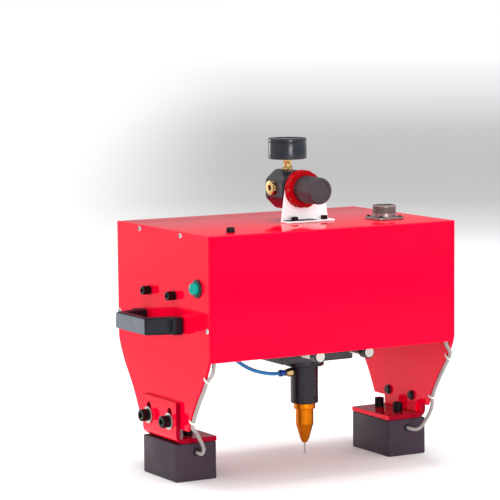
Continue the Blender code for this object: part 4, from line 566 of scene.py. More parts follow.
dome = [(CAP_RADIUS, 0), (CAP_RADIUS, CAP_SHOULDER), (0.0052, 0.0116), (0.0, CAP_LENGTH)]
cap = turned("button_cap", [(0, 0), *rounded(dome, CAP_ROUNDING, 4)], "-X", (high.x, middle.y, middle.z), 48)
fit(cap, green, "start_button", "green_cap", "start_button_cap")

# Socket screws
# Black-oxide socket-head cap screws with knurled heads. Eight M8 and M6 screws hold the feet,
# two sit on the left plate, and two hold the regulator's bracket.
OXIDE = (0.018, 0.018, 0.019)
# Painted shade and reflection: a dark red for the clamp bolts' nuts, in place of the red plate's shade and
# reflection on them.
NUT_SHADE_RED = (0.055, 0.004, 0.010)
CLAMP_BOLT = (0.0065, 0.008, 0.0034, 0.004, 0.0139)
FOOT_SCREW = (0.0052, 0.0105, 0.0027, 0.003, 0.017)
SIDE_SCREW = (0.0047, 0.009, 0.0026, 0.003, 0.0085)
PANEL_SCREW = (0.0037, 0.004, 0.002, 0.002, 0.010)
SCREW_SIDES, BOLT_TURN = 72, 0.2
WASHER_SEAT = 0.0018
WASHER = ((0.0042, 0), (0.0088, 0), (0.009, 0.0003), (0.009, 0.0013), (0.0087, 0.0016), (0.0042, 0.0016))
BOLT_NUT = ((0.0042, -0.0104), (0.0052, -0.0104), (0.0055, -0.0101), (0.0055, -0.0089), (0.0042, -0.0089))


def ribs(count, depth):
    """A shape for turned levels: rounded grooves between flat ribs, as a share of the radius."""
    return lambda angle: 1 - depth * max(0.0, math.cos(count * angle)) ** 0.5


oxide = finish("black oxide", OXIDE, 0.3, 0.85, fine=1600.0, broad=140.0, spread=0.15, shade=0.7)
# Painted shade and reflection of the red plate, on the clamp bolts' nuts.
painted_shade_nut = finish("nut in painted red shade", NUT_SHADE_RED, 0.35, fine=1200.0, broad=90.0, spread=0.1, shade=0.7)
KNURL = ribs(36, 0.025)


def cap_screw_levels(head_radius, head_height, socket_radius, shank_radius, length, lift):
    """Levels of a socket screw with its head up and the head's seat at the lift."""
    top = lift + head_height
    edge = head_radius * 0.12
    floor = top - head_height * 0.55
    return [
        (0, floor),
        (socket_radius, floor, hexagon),
        (socket_radius, top - edge * 0.4, hexagon),
        (socket_radius * 1.12, top),
        (head_radius - edge, top),
        (head_radius - edge * 0.3, top - edge * 0.3),
        (head_radius, top - edge),
        (head_radius, top - edge * 1.3, KNURL),
        (head_radius, lift + edge, KNURL),
        (head_radius * 0.97, lift),
        (shank_radius, lift),
        (shank_radius, lift - length),
        (0, lift - length),
    ]


def cap_screw(name, shape, axis, node, body="housing", lift=0.0, turn=0.0):
    """A socket screw with its head at the end of its solid's box; gives back its seat."""
    low, high = corners(node)
    place = (low + high) / 2
    at, sign = "XYZ".index(axis[-1]), -1 if axis[0] == "-" else 1
    place[at] = (high[at] if sign > 0 else low[at]) - sign * (shape[1] + lift)
    screw = turned(name, cap_screw_levels(*shape, lift), axis, place, SCREW_SIDES, turn)
    fit(screw, oxide, body, "black_oxide", node)
    return place


for side_name, sign in SIDES:
    outward = "X" if sign > 0 else "-X"
    for label in ("front", "back"):
        place = cap_screw(side_name + "_bolt_" + label, CLAMP_BOLT, outward,
                          side_name + "_clamp_bolt_" + label, lift=WASHER_SEAT, turn=BOLT_TURN)
        washer = turned(side_name + "_washer_" + label, WASHER, outward, place, 48)
        fit(washer, zinc, "housing", "bright_steel")
        bolt_nut = turned(side_name + "_nut_" + label, BOLT_NUT, outward, place, 48)
        fit(bolt_nut, painted_shade_nut, "housing", "black_oxide")
        cap_screw(side_name + "_foot_screw_" + label, FOOT_SCREW, "Z",
                  side_name + "_magnet_screw_" + label, side_name + "_foot")
for label in ("front", "back"):
    cap_screw("side_screw_" + label, SIDE_SCREW, "-X", "plate_screw_" + label)
for label in ("left", "right"):
    cap_screw("panel_screw_" + label, PANEL_SCREW, "Z", "bracket_screw_" + label)

# Feet
# An angle of 5 mm steel, bent and coated red, with painted shade on its front and back cut edges and
# upward faces, and two upright slots for setting its height. Under it sits a potted electromagnet in a dark
# grey steel case.
MAGNET_GREY = (0.039, 0.023, 0.037)
POTTING_BLACK = (0.02, 0.02, 0.022)
# Painted shade: the dark red that the angles' front and back edges and upward faces are mixed toward.
PAINTED_SHADE_RED = (0.26, 0.0, 0.012)
TOP_SHADE_SHARE = 0.75
ANGLE_THICKNESS, ANGLE_EDGE = 0.005, 0.0006
BEND_RADIUS, INNER_BEND = 0.009, 0.0012
SLOT_RADIUS, FOOT_TRAVEL, CUTTER_REACH = 0.0044, 0.0095, 0.004
CASE_ROUNDING, CASE_EDGE = 0.003, 0.0009
POTTING_INSET, POTTING_HALF, POTTING_LOW, POTTING_HIGH = 0.0115, 0.0022, 0.00005, 0.0004
LEAD_HOLE_HEIGHT = 0.0305
GROMMET = (
    (0.0022, -0.0005), (0.0042, -0.0005), (0.0042, 0.0002), (0.0038, 0.0009), (0.0026, 0.0009),
    (0.0022, 0.0004),
)
magnet_paint = finish("dark grey case", MAGNET_GREY, 0.42, fine=700.0, broad=30.0, bump=0.00008, spread=0.1,
                      shade=0.88, specular=0.2)
potting = finish("potting resin", POTTING_BLACK, 0.35, fine=400.0, broad=60.0, spread=0.1)
# Painted shade: front and back cut edges turn fully to a dark red, upward faces three quarters of the way.
shaded_bracket_paint = red_paint.copy()
shaded_bracket_paint.name = "red paint with painted shade on edges and top"
tree = shaded_bracket_paint.node_tree
base = shader_of(shaded_bracket_paint).inputs["Base Color"]
normal = add_node(tree, "ShaderNodeTexCoord").outputs["Normal"]
facing = add_node(tree, "ShaderNodeSeparateXYZ", _0=normal).outputs
top_shade = worked(tree, "MULTIPLY", facing["Z"], TOP_SHADE_SHARE)
painted_shade_mask = worked(tree, "MAXIMUM", worked(tree, "ABSOLUTE", facing["Y"]), top_shade)
tree.links.new(mixed(tree, painted_shade_mask, base.links[0].from_socket, (*PAINTED_SHADE_RED, 1)), base)
for side_name, sign in SIDES:
    low, high = corners(side_name + "_foot_bracket")
    outer, shelf_end = (high.x, low.x) if sign > 0 else (-low.x, -high.x)
    inner = outer - ANGLE_THICKNESS
    shelf_top = low.z + ANGLE_THICKNESS
    bend = arc((outer - BEND_RADIUS, low.z + BEND_RADIUS), BEND_RADIUS, -90, 0, 6)
    inside_bend = arc((inner - INNER_BEND, shelf_top + INNER_BEND), INNER_BEND, 0, -90, 3)
    outline = [(shelf_end, shelf_top), (shelf_end, low.z), *bend]
    outline += [(outer, high.z), (inner, high.z), *inside_bend]
    angle_piece = slab(side_name + "_angle", [(sign * x, z) for x, z in outline], "Y", low.y, high.y)
    slots = []
    for label in ("front", "back"):
        bolt_low, bolt_high = corners(side_name + "_clamp_bolt_" + label)
        bolt_y, slot_z = (bolt_low.y + bolt_high.y) / 2, (bolt_low.z + bolt_high.z) / 2
        slot_line = arc((bolt_y, slot_z + FOOT_TRAVEL), SLOT_RADIUS, 0, 180, 12)
        slot_line += arc((bolt_y, slot_z), SLOT_RADIUS, 180, 360, 12)
        cutter = slab("slot_cutter", slot_line, "X", sign * (inner - CUTTER_REACH),
                      sign * (outer + CUTTER_REACH))
        cut = angle_piece.modifiers.new("slot", "BOOLEAN")
        cut.operation = "DIFFERENCE"
        cut.object = cutter
        slots.append(cutter)
    soft_edges(angle_piece, ANGLE_EDGE, 2, 40)
    bpy.context.view_layer.update()
    depsgraph = bpy.context.evaluated_depsgraph_get()
    shaped = bpy.data.meshes.new_from_object(angle_piece.evaluated_get(depsgraph))
    angle_piece.modifiers.clear()
    angle_piece.data = shaped
    for cutter in slots:
        bpy.data.objects.remove(cutter)
    fit(angle_piece, shaded_bracket_paint, side_name + "_foot", "red_paint", side_name + "_foot_bracket")

    low, high = corners(side_name + "_magnet")
    middle = (low + high) / 2
    outline = rounded(rectangle(low.x, low.y, high.x, high.y), CASE_ROUNDING, 3, closed=True)
    case = soft_edges(slab(side_name + "_case", outline, "Z", low.z, high.z), CASE_EDGE, 2, 50)
    fit(case, magnet_paint, side_name + "_foot", "magnet_grey", side_name + "_magnet")
    ring_x, ring_y = (high.x - low.x) / 2 - POTTING_INSET, (high.y - low.y) / 2 - POTTING_INSET
    for index, (x, y, half_x, half_y) in enumerate((
        (0, ring_y, ring_x, POTTING_HALF), (0, -ring_y, ring_x, POTTING_HALF),
        (ring_x, 0, POTTING_HALF, ring_y), (-ring_x, 0, POTTING_HALF, ring_y),
    )):
        strip = rectangle(middle.x + x - half_x, y - half_y, middle.x + x + half_x, y + half_y)
        seam = slab(f"{side_name}_potting_{index}", strip, "Z", POTTING_LOW, POTTING_HIGH)
        fit(seam, potting, side_name + "_foot", "magnet_grey")
    grommet = turned(side_name + "_grommet", GROMMET, "-Y", (middle.x, low.y, LEAD_HOLE_HEIGHT), 40)
    fit(grommet, nylon, side_name + "_foot", "magnet_grey")

# Magnet leads
# A two-core lead in grey PVC on each side. It comes out of the housing inside the leg's front
# edge, is tied there twice, and goes into the magnet.
LEAD_RADIUS = 0.002
TUBE_SIDES = 16
LEAD_GREY = (0.34, 0.30, 0.29)
TIE_WHITE = (0.80, 0.79, 0.76)
LEG_ROUTE = (
    (0.1400, -0.0945, 0.1700), (0.1410, -0.0955, 0.1540), (0.1418, -0.0962, 0.1400),
    (0.1425, -0.0975, 0.1290), (0.1455, -0.1000, 0.1215), (0.1480, -0.0944, 0.1138),
    (0.1480, -0.0846, 0.1008), (0.1480, -0.0768, 0.0905), (0.1480, -0.0672, 0.0754),
)
FOOT_ROUTES = {
    "left": (
        (0.1480, -0.0620, 0.0662), (0.1475, -0.0602, 0.0602), (0.1421, -0.0575, 0.0551),
        (0.1364, -0.0535, 0.0476), (0.1308, -0.0495, 0.0399), (0.1278, -0.0468, 0.0337),
        (0.1287, -0.0440, 0.0290), (0.1309, -0.0400, 0.0296), (0.1313, -0.0303, 0.0305),
    ),
    "right": (
        (0.1480, -0.0625, 0.0662), (0.1480, -0.0615, 0.0565), (0.1480, -0.0555, 0.0461),
        (0.1470, -0.0490, 0.0375), (0.1440, -0.0458, 0.0313), (0.1390, -0.0438, 0.0286),
        (0.1335, -0.0410, 0.0294), (0.1315, -0.0365, 0.0304), (0.1313, -0.0303, 0.0305),
    ),
}
ROUTE_STEPS = 5
TIED_AT = (5, 9)
TIE_STRETCH, TIE_REACH = 1.8, 0.0022
TIE_BAND = ((0.0022, -0.0011), (0.0028, -0.0011), (0.0028, 0.0011), (0.0022, 0.0011))


def round_tube(name, points, radius):
    """A tube along a line of points, closed at both ends."""
    work = bmesh.new()
    side_way = Vector((0, 0, 1)).cross(points[1] - points[0])
    if side_way.length < 0.000001:
        side_way = Vector((1, 0, 0))
    rings = []
    for index, point in enumerate(points):
        ahead = points[min(index + 1, len(points) - 1)] - points[max(index - 1, 0)]
        ahead.normalize()
        side_way = (side_way - ahead * side_way.dot(ahead)).normalized()
        other = ahead.cross(side_way)
        ring = []
        for step in range(TUBE_SIDES):
            angle = 2 * math.pi * step / TUBE_SIDES
            reach = (side_way * math.cos(angle) + other * math.sin(angle)) * radius
            ring.append(work.verts.new(point + reach))
        rings.append(ring)
    for first, second in zip(rings, rings[1:]):
        for step in range(TUBE_SIDES):
            after = (step + 1) % TUBE_SIDES
            work.faces.new((first[step], first[after], second[after], second[step]))
    work.faces.new(list(reversed(rings[0])))
    work.faces.new(rings[-1])
    return piece_from(name, work, 50)


lead_cover = finish("grey lead", LEAD_GREY, 0.42, fine=1200.0, broad=40.0, bump=0.00003, spread=0.1,
                    shade=0.85)
tie_nylon = finish("white nylon tie", TIE_WHITE, 0.4, fine=1200.0, broad=90.0, spread=0.1)
for side_name, sign in SIDES:
    route = [(sign * x, y, z) for x, y, z in (*LEG_ROUTE, *FOOT_ROUTES[side_name])]
    line = smooth_route(route, ROUTE_STEPS)
    lead = round_tube(side_name + "_lead", line, LEAD_RADIUS)
    lead.data.materials.append(lead_cover)
    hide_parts(side_name + "_magnet_lead")
    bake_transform(lead)
    for index, point in enumerate(TIED_AT):
        step = point * ROUTE_STEPS
        ahead = (line[step + 1] - line[step - 1]).normalized()
        inward = Vector((1, 0, 0)).cross(ahead).normalized()
        inward *= math.copysign(1, inward.y)
        tie = turned(f"{side_name}_tie_{index}", TIE_BAND, "Z", (0, TIE_REACH / TIE_STRETCH, 0), 32)
        tie.data.transform(Matrix.Diagonal((1, TIE_STRETCH, 1, 1)))
        tie.data.transform(Matrix((inward.cross(ahead), inward, ahead)).transposed().to_4x4())
        tie.data.transform(Matrix.Translation(line[step]))
        fit(tie, tie_nylon, "housing", "grey_cable")

# Rods, screws and slides
# Ground steel rods and rolled screws, anodised sliders and bearing block, two motors and the
# air valve with its fitting. All stay as the frame has them, with a finish of their own.
STEEL, BLOCK_GREY, MOTOR_BLACK = (0.58, 0.53, 0.48), (0.055, 0.048, 0.056), (0.03, 0.03, 0.032)
VALVE_GREY, BRASS = (0.45, 0.45, 0.46), (0.72, 0.50, 0.20)
ground_steel = finish("ground steel", STEEL, 0.16, 1.0, fine=2600.0, broad=30.0, spread=0.08, shade=0.85)
block_anodised = finish("grey anodised", BLOCK_GREY, 0.3, 0.6, fine=1500.0, broad=40.0, spread=0.12,
                        shade=0.8)
motor_paint = finish("motor case", MOTOR_BLACK, 0.45, 0.4, broad=60.0, spread=0.15, shade=0.8)
valve_metal = finish("valve body", VALVE_GREY, 0.35, 0.8, broad=60.0, spread=0.15, shade=0.85)
brass = finish("machined brass", BRASS, 0.22, 1.0, fine=1400.0, broad=120.0, spread=0.15, shade=0.8)
for look, nodes in (
    (ground_steel, ("x_rod_front", "x_rod_back", "x_screw", "y_screw", "y_rod_left", "y_rod_right",
                    "regulator_spindle")),
    (block_anodised, ("x_slider_front", "x_slider_back", "y_carriage")),
    (motor_paint, ("x_motor", "y_motor")),
    (valve_metal, ("air_valve",)),
    (brass, ("valve_fitting",)),
):
    for node in nodes:
        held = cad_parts[node].data.materials
        held.clear()
        held.append(look)

# Marking head
# A turned flange and cylinder in black-anodised aluminium hold a golden-anodised nose. The
# hard steel pin in it strikes when air fills the cylinder, and a spring lifts it again.
HEAD_BLACK = (0.015, 0.012, 0.020)
GOLD = (0.66, 0.175, 0.001)
PIN_GREY = (0.60, 0.60, 0.60)
LATHE_RINGS, LATHE_BUMP = 260.0, 0.00003
FLANGE_THICKNESS, HEAD_RADIUS = 0.0082, 0.0151
HEAD_BORE, BORE_DEPTH, HEAD_EDGE, HEAD_SIDES = 0.0101, 0.034, 0.0009, 72
FLANGE_SCREW, FLANGE_SCREW_CIRCLE = (0.0019, 0.0011), 0.0178
COLLAR_RADIUS, COLLAR_LENGTH = 0.0119, 0.0062
SPIGOT_RADIUS, SPIGOT_LENGTH = 0.0095, 0.007
NOSE_RADIUS, NOSE_STRAIGHT, NOSE_BORE, NOSE_EDGE = 0.0097, 0.0165, 0.0015, 0.0006
PIN_RADIUS, PISTON_RADIUS, PISTON_LENGTH = 0.001, 0.0096, 0.010


def turning_marks():
    """Node group: the fine rings that a lathe leaves round an upright axis, as a height."""
    group = bpy.data.node_groups.new("turning marks", "ShaderNodeTree")
    group.interface.new_socket("Rings", in_out="INPUT", socket_type="NodeSocketFloat")
    group.interface.new_socket("Height", in_out="OUTPUT", socket_type="NodeSocketFloat")
    entry, leave = group.nodes.new("NodeGroupInput"), group.nodes.new("NodeGroupOutput")
    space = add_node(group, "ShaderNodeTexCoord").outputs["Object"]
    wave = add_node(group, "ShaderNodeTexWave", {"bands_direction": "Z"}, Vector=space,
                    Scale=entry.outputs["Rings"], Distortion=0.6, Detail=2.0)
    group.links.new(wave.outputs["Fac"], leave.inputs["Height"])
    return group


TURNING = turning_marks()


def lathe_finish(name, colour, roughness, metallic):
    """A finish with turning marks over its grain."""
    material = finish(name, colour, roughness, metallic, fine=1800.0, broad=90.0, spread=0.1, shade=0.85)
    tree = material.node_tree
    marks = add_node(tree, "ShaderNodeGroup", {"node_tree": TURNING}, Rings=LATHE_RINGS)
    first = next(node for node in tree.nodes if node.type == "BUMP")
    second = add_node(tree, "ShaderNodeBump", Height=marks.outputs["Height"], Strength=0.6,
                      Distance=LATHE_BUMP, Normal=first.outputs["Normal"])
    tree.links.new(second.outputs["Normal"], shader_of(material).inputs["Normal"])
    return material


head_black = lathe_finish("black anodised", HEAD_BLACK, 0.26, 0.5)
gold = lathe_finish("gold anodised", GOLD, 0.3, 0.9)
pin_steel = lathe_finish("hard steel", PIN_GREY, 0.15, 1.0)
low, high = corners("head_body")
axis_x, axis_y = (low.x + high.x) / 2, (low.y + high.y) / 2
head_axis = (axis_x, axis_y, 0)
flange_radius = (high.x - low.x) / 2
cylinder_top = high.z - FLANGE_THICKNESS
levels = rounded([
    (0.0, high.z), (flange_radius, high.z), (flange_radius, cylinder_top), (HEAD_RADIUS, cylinder_top),
    (HEAD_RADIUS, low.z), (HEAD_BORE, low.z), (HEAD_BORE, low.z + BORE_DEPTH), (0.0, low.z + BORE_DEPTH),
], HEAD_EDGE)
cylinder = turned("head_cylinder", levels, "Z", head_axis, HEAD_SIDES)
fit(cylinder, head_black, "y_carriage", "black_anodised", "head_body")
for index in range(4):
    angle = math.radians(45 + 90 * index)
    place = (axis_x + FLANGE_SCREW_CIRCLE * math.cos(angle), axis_y + FLANGE_SCREW_CIRCLE * math.sin(angle),
             cylinder_top)
    screw = turned(f"flange_screw_{index}", pan_levels(*FLANGE_SCREW), "-Z", place, PAN_SIDES)
    fit(screw, oxide, "y_carriage", "black_oxide")
levels = [(0, -0.0004), (0.0012, -0.0004, hexagon), (0.0012, 0.0002, hexagon), (0.0019, 0.0003),
          (0.0021, -0.0002), (0.0021, -0.0008), (0, -0.0008)]
set_screw = turned("set_screw", levels, "-Y", (axis_x + 0.0035, axis_y - 0.01475, low.z + 0.006), 36)
fit(set_screw, oxide, "y_carriage", "black_oxide")

low, high = corners("head_nose")
collar_top = high.z - SPIGOT_LENGTH
collar_end = collar_top - COLLAR_LENGTH
straight_end = collar_end - NOSE_STRAIGHT
levels = rounded([
    (NOSE_BORE, high.z), (SPIGOT_RADIUS, high.z), (SPIGOT_RADIUS, collar_top), (COLLAR_RADIUS, collar_top),
    (COLLAR_RADIUS, collar_end), (NOSE_RADIUS, collar_end), (NOSE_RADIUS, straight_end),
    (0.0049, low.z + 0.0042), (0.0025, low.z), (0.0014, low.z),
], NOSE_EDGE)
nose = turned("nose", levels, "Z", head_axis, HEAD_SIDES)
fit(nose, gold, "y_carriage", "gold_anodised", "head_nose")
low, high = corners("head_stylus")
piston = high.z - PISTON_LENGTH
levels = [(0, low.z), (0.0002, low.z + 0.0001), (PIN_RADIUS, low.z + 0.0018), (PIN_RADIUS, piston),
          (PISTON_RADIUS, piston), (PISTON_RADIUS, high.z), (0, high.z)]
pin = turned("strike_pin", levels, "Z", head_axis, 40)
fit(pin, pin_steel, "stylus", "bright_steel", "head_stylus")

# Air line of the head
# A brass fitting with a blue push-in collet on the cylinder's left, and a blue polyurethane
# tube that loops up to the valve inside the housing.
BLUE = (0.012, 0.20, 0.52)
COLLET_BLUE = (0.004, 0.04, 0.30)
TUBE_RADIUS = 0.002
HEAD_TUBE_ROUTE = (
    (-0.0136, -0.0080, 0.0992), (-0.0204, -0.0080, 0.0993), (-0.0300, -0.0080, 0.1008),
    (-0.0440, -0.0080, 0.1048), (-0.0563, -0.0080, 0.1110), (-0.0665, -0.0085, 0.1185),
    (-0.0740, -0.0110, 0.1290), (-0.0765, -0.0170, 0.1420), (-0.0735, -0.0260, 0.1540),
    (-0.0680, -0.0360, 0.1615), (-0.0610, -0.0460, 0.1645), (-0.0530, -0.0530, 0.1640),
    (-0.0450, -0.0562, 0.1620), (-0.0383, -0.0569, 0.1615),
)
FITTING_THREAD, COLLET_EDGE = 0.003, 0.0005
TUBE_CLEARNESS = 0.15
blue = finish("blue polyurethane", BLUE, 0.22, fine=700.0, broad=40.0, spread=0.08, shade=0.85)
shader_of(blue).inputs["Transmission Weight"].default_value = TUBE_CLEARNESS
collet_blue = finish("dark blue plastic", COLLET_BLUE, 0.3, broad=90.0, spread=0.08)
low, high = corners("head_fitting")
middle = (low + high) / 2
levels = [
    (0.0022, -0.0028), (0.0026, -0.0028), (0.0026, 0.0003), (0.0043, 0.0003), (0.0048, 0.0008, hexagon),
    (0.0048, 0.0048, hexagon), (0.0043, 0.0053), (0.0041, 0.0056), (0.0041, 0.0084), (0.0022, 0.0084),
]
fitting = turned("head_elbow", levels, "-X", (high.x - FITTING_THREAD, middle.y, middle.z), 48)
fit(fitting, brass, "y_carriage", "brass", "head_fitting")
low, high = corners("head_collet")
levels = [(0.0021, 0), (0.0030, 0), (0.0030, 0.0036), (0.0038, 0.0036), (0.0038, 0.0072), (0.0021, 0.0072)]
collet = turned("push_collet", rounded(levels, COLLET_EDGE), "-X", (high.x, middle.y, middle.z), 48)
fit(collet, collet_blue, "y_carriage", "blue_tube", "head_collet")
line = smooth_route(HEAD_TUBE_ROUTE, ROUTE_STEPS)
tube = round_tube("air_tube", line, TUBE_RADIUS)
tube.data.materials.append(blue)
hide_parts("head_tube")
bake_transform(tube)

# Regulator bracket
# A white-coated 2 mm angle: its foot is screwed to the cover, a thin black sheet on it under the knob is
# a painted shadow, and the regulator's neck is clamped through the round head of its upright plate.
BRACKET_SHEET, BRACKET_EDGE, SIDE_GAP, FOOT_ROUNDING = 0.002, 0.0004, 0.0003, 0.002
SHOULDER_RISE, SHOULDER_IN, HEAD_ROUND = 0.020, 0.0032, 0.0185
STRIP_LEFT, STRIP_RIGHT, STRIP_FRONT, STRIP_BOTTOM, STRIP_TOP = 0.0225, 0.0135, 0.0012, 0.0019, 0.0024
WHITE = (0.95, 0.95, 0.96)
# Painted shadow: the black of the knob's shadow on the bracket's foot.
KNOB_SHADOW_BLACK = (0.035, 0.035, 0.045)
white_coat = finish("white coat", WHITE, 0.28, fine=500.0, broad=20.0, bump=0.00003, spread=0.08, shade=0.95)
low, high = corners("regulator_bracket")
knob_low, knob_high = corners("regulator_knob")
neck_x, neck_z = (knob_low.x + knob_high.x) / 2, (knob_low.z + knob_high.z) / 2
plate_front = high.y - BRACKET_SHEET
panel_left, panel_right = low.x + SIDE_GAP, high.x - SIDE_GAP


def tangent_angle(corner, way):
    """The angle round the neck at which a line from the corner touches the round head."""
    across, rise = corner[0] - neck_x, corner[1] - neck_z
    return math.degrees(math.atan2(rise, across) + way * math.acos(HEAD_ROUND / math.hypot(across, rise)))


shoulder = (panel_right - SHOULDER_IN, low.z + SHOULDER_RISE)
start, end = tangent_angle(shoulder, 1), tangent_angle((panel_left, low.z), -1) + 360
head_arc = arc((neck_x, neck_z), HEAD_ROUND, start, end, 24)
outline = [(panel_left, low.z), (panel_right, low.z), shoulder, *head_arc]
upright = soft_edges(slab("bracket_upright", outline, "Y", plate_front, high.y), BRACKET_EDGE)
fit(upright, white_coat, "housing", "white_paint", "regulator_bracket")
foot_line = rounded(rectangle(low.x, low.y, high.x, plate_front + 0.001), FOOT_ROUNDING, 3, closed=True)
bracket_foot = soft_edges(slab("bracket_foot", foot_line, "Z", low.z, low.z + BRACKET_SHEET), BRACKET_EDGE)
fit(bracket_foot, white_coat, "housing", "white_paint")
# A thin black sheet on the foot, under the knob, is a painted shadow.
knob_shadow_paint = finish("painted knob shadow", KNOB_SHADOW_BLACK, 0.6, fine=1500.0, broad=90.0, bump=0.00004, spread=0.1)
shadow_sheet_line = rectangle(neck_x - STRIP_LEFT, low.y + STRIP_FRONT, neck_x + STRIP_RIGHT, plate_front)
shadow_sheet_line = rounded(shadow_sheet_line, STRIP_ROUNDING, 3, closed=True)
strip = slab("knob_shadow_sheet", shadow_sheet_line, "Z", low.z + STRIP_BOTTOM, low.z + STRIP_TOP)
fit(strip, knob_shadow_paint, "housing", "black_plastic")

# Regulator
# A die-cast body in glossy black, its round neck through the bracket, a red ring nut and a
# ribbed black knob that is pulled out to turn. A brass port faces left.
CASTING_BLACK, KNOB_BLACK, RING_RED = (0.016, 0.008, 0.020), (0.034, 0.025, 0.031), (0.37, 0.0, 0.004)
CASTING_DEPTH, CASTING_ROUNDING, CASTING_EDGE = 0.040, 0.0035, 0.003
CASTING_UPPER = ((0.0195, -0.0115), (0.0195, 0.0085), (0.0068, 0.0190))
DRAIN_RADIUS, DRAIN_HEIGHT, DRAIN_EDGE = 0.0065, 0.002, 0.0008
NECK_COLLAR, NECK_RADIUS = 0.017, 0.014
RING_RADIUS, RING_BORE = 0.0202, 0.0143
NOTCHED, RIBBED = ribs(12, 0.05), ribs(28, 0.05)
gloss_black = finish("glossy black casting", CASTING_BLACK, 0.12, fine=300.0, broad=30.0, bump=0.00005,
                     spread=0.1, shade=0.8, specular=0.35)
knob_black = finish("knob plastic", KNOB_BLACK, 0.32, fine=1500.0, broad=60.0, spread=0.1, shade=0.8)
ring_red = finish("red plastic", RING_RED, 0.36, fine=800.0, broad=60.0, spread=0.08, specular=0.08)
low, high = corners("regulator_body")
bottom = low.z + DRAIN_HEIGHT
flat = CASTING_UPPER[-1][0]
outline = [*CASTING_UPPER, *((-across, rise) for across, rise in reversed(CASTING_UPPER))]
outline += [(-flat, bottom - neck_z), (flat, bottom - neck_z)]
outline = [(neck_x + across, neck_z + rise) for across, rise in outline]
outline = rounded(outline, CASTING_ROUNDING, 4, closed=True)
casting_front = high.y - CASTING_DEPTH
casting = slab("regulator_casting", outline, "Y", casting_front, high.y)
fit(soft_edges(casting, CASTING_EDGE, 4, 50), gloss_black, "housing", "black_plastic", "regulator_body")
levels = rounded(rectangle(0, low.z, DRAIN_RADIUS, bottom + DRAIN_HEIGHT), DRAIN_EDGE)
drain = turned("drain_plug", levels, "Z", (neck_x, casting_front + CASTING_DEPTH / 2, 0), 40)
fit(drain, knob_black, "housing", "black_plastic")
neck_length = casting_front - low.y
levels = [(0, -0.002), (NECK_COLLAR, -0.002), (NECK_COLLAR, 0.001), (NECK_RADIUS, 0.001),
          (NECK_RADIUS, neck_length - 0.0006), (NECK_RADIUS - 0.0006, neck_length), (0, neck_length)]
neck = turned("neck", levels, "-Y", (neck_x, casting_front, neck_z), 48)
fit(neck, knob_black, "housing", "black_plastic")
low, high = corners("regulator_ring_nut")
length = high.y - low.y
levels = [(RING_BORE, 0), (0.0196, 0), (RING_RADIUS, 0.0006), (RING_RADIUS, 0.001, NOTCHED),
          (RING_RADIUS, length - 0.0012, NOTCHED), (0.0194, length), (RING_BORE, length)]
ring_nut = turned("ring_nut", levels, "-Y", (neck_x, high.y, neck_z), 144)
fit(ring_nut, ring_red, "housing", "red_paint", "regulator_ring_nut")
length = knob_high.y - knob_low.y
levels = [(0.0054, 0), (0.0141, 0), (0.0145, 0.0005), (0.0145, 0.0034), (0.0145, 0.0042, RIBBED),
          (0.0143, length - 0.0024, RIBBED), (0.0136, length - 0.0008), (0.0128, length), (0.0108, length),
          (0.0104, length - 0.0004), (0.0100, length - 0.0009), (0, length - 0.0009), (0, length - 0.004),
          (0.0054, length - 0.004)]
knob = turned("pull_knob", levels, "-Y", (neck_x, knob_high.y, neck_z), 224)
fit(knob, knob_black, "regulator_knob", "black_plastic", "regulator_knob")
low, high = corners("inlet_fitting")
middle = (low + high) / 2
levels = [(0.003, 0), (0.0078, 0), (0.0084, 0.0005, hexagon), (0.0084, 0.0022, hexagon), (0.0078, 0.0027),
          (0.0062, 0.003), (0.0036, 0.003), (0.003, 0.0025)]
port = turned("inlet_port", levels, "-X", (high.x, middle.y, middle.z), 48)
fit(port, brass, "housing", "brass", "inlet_fitting")

# Pressure gauge
# A 40 mm gauge lies dial up on a brass stem: black steel case, white dial with plain marks,
# a black pointer and a clear lens.
CASE_BLACK, DIAL_WHITE, PRINT_BLACK = (0.010, 0.013, 0.022), (0.82, 0.82, 0.80), (0.01, 0.01, 0.01)
POINTER_BLACK, LENS_CLEAR, LENS_IOR = (0.02, 0.02, 0.02), (0.95, 0.97, 0.97, 1), 1.49
DIAL_DEPTH, DIAL_RADIUS, DIAL_SHEET = 0.006, 0.0170, 0.0001
CASE_LIP, LENS_SEAT, LENS_RADIUS, LENS_EDGE = 0.0014, 0.0024, 0.0182, 0.0004
CASE_GROOVE, CASE_WALL, CASE_ROUND, HUB_RADIUS, HUB_HEIGHT = 0.0005, 0.0027, 0.0009, 0.0021, 0.0012
MARKS, MARK_REACH = 50, 0.0158
LONG_MARK, SHORT_MARK = (0.0128, 0.00022), (0.0142, 0.0001)
NUMBERS, NUMBER_SIZE, NUMBER_CIRCLE = 6, 0.0034, 0.0103
PRINT_LIFT, NUMBER_LIFT = 0.00013, 0.00014
DIAL_START, DIAL_SWEEP = -135, -270
case_black = finish("gauge case", CASE_BLACK, 0.17, fine=700.0, broad=50.0, bump=0.000004, spread=0.04,
                    shade=0.8, specular=0.4)
dial_white = finish("dial", DIAL_WHITE, 0.5, broad=30.0, shade=0.97)
print_black = finish("dial print", PRINT_BLACK, 0.5, broad=30.0)
pointer_black = finish("pointer", POINTER_BLACK, 0.35, broad=30.0, spread=0.1)
low, high = corners("gauge_case")
gauge_x, gauge_y = (low.x + high.x) / 2, (low.y + high.y) / 2
gauge_axis = (gauge_x, gauge_y, 0)
radius, top = (high.x - low.x) / 2, high.z
inside, seat, dial_height = radius - CASE_LIP, top - LENS_SEAT, top - DIAL_DEPTH
groove, wall = radius - CASE_GROOVE, radius - CASE_WALL
case_line = rounded([
    (0.0, low.z), (radius, low.z), (radius, top - 0.0045), (groove, top - 0.0042), (groove, top - 0.0036),
    (radius, top - 0.0033), (radius, top), (inside, top), (inside, seat), (wall, seat),
    (wall, dial_height), (0.0, dial_height),
], CASE_ROUND)
case = turned("gauge_body", case_line, "Z", gauge_axis, 96)
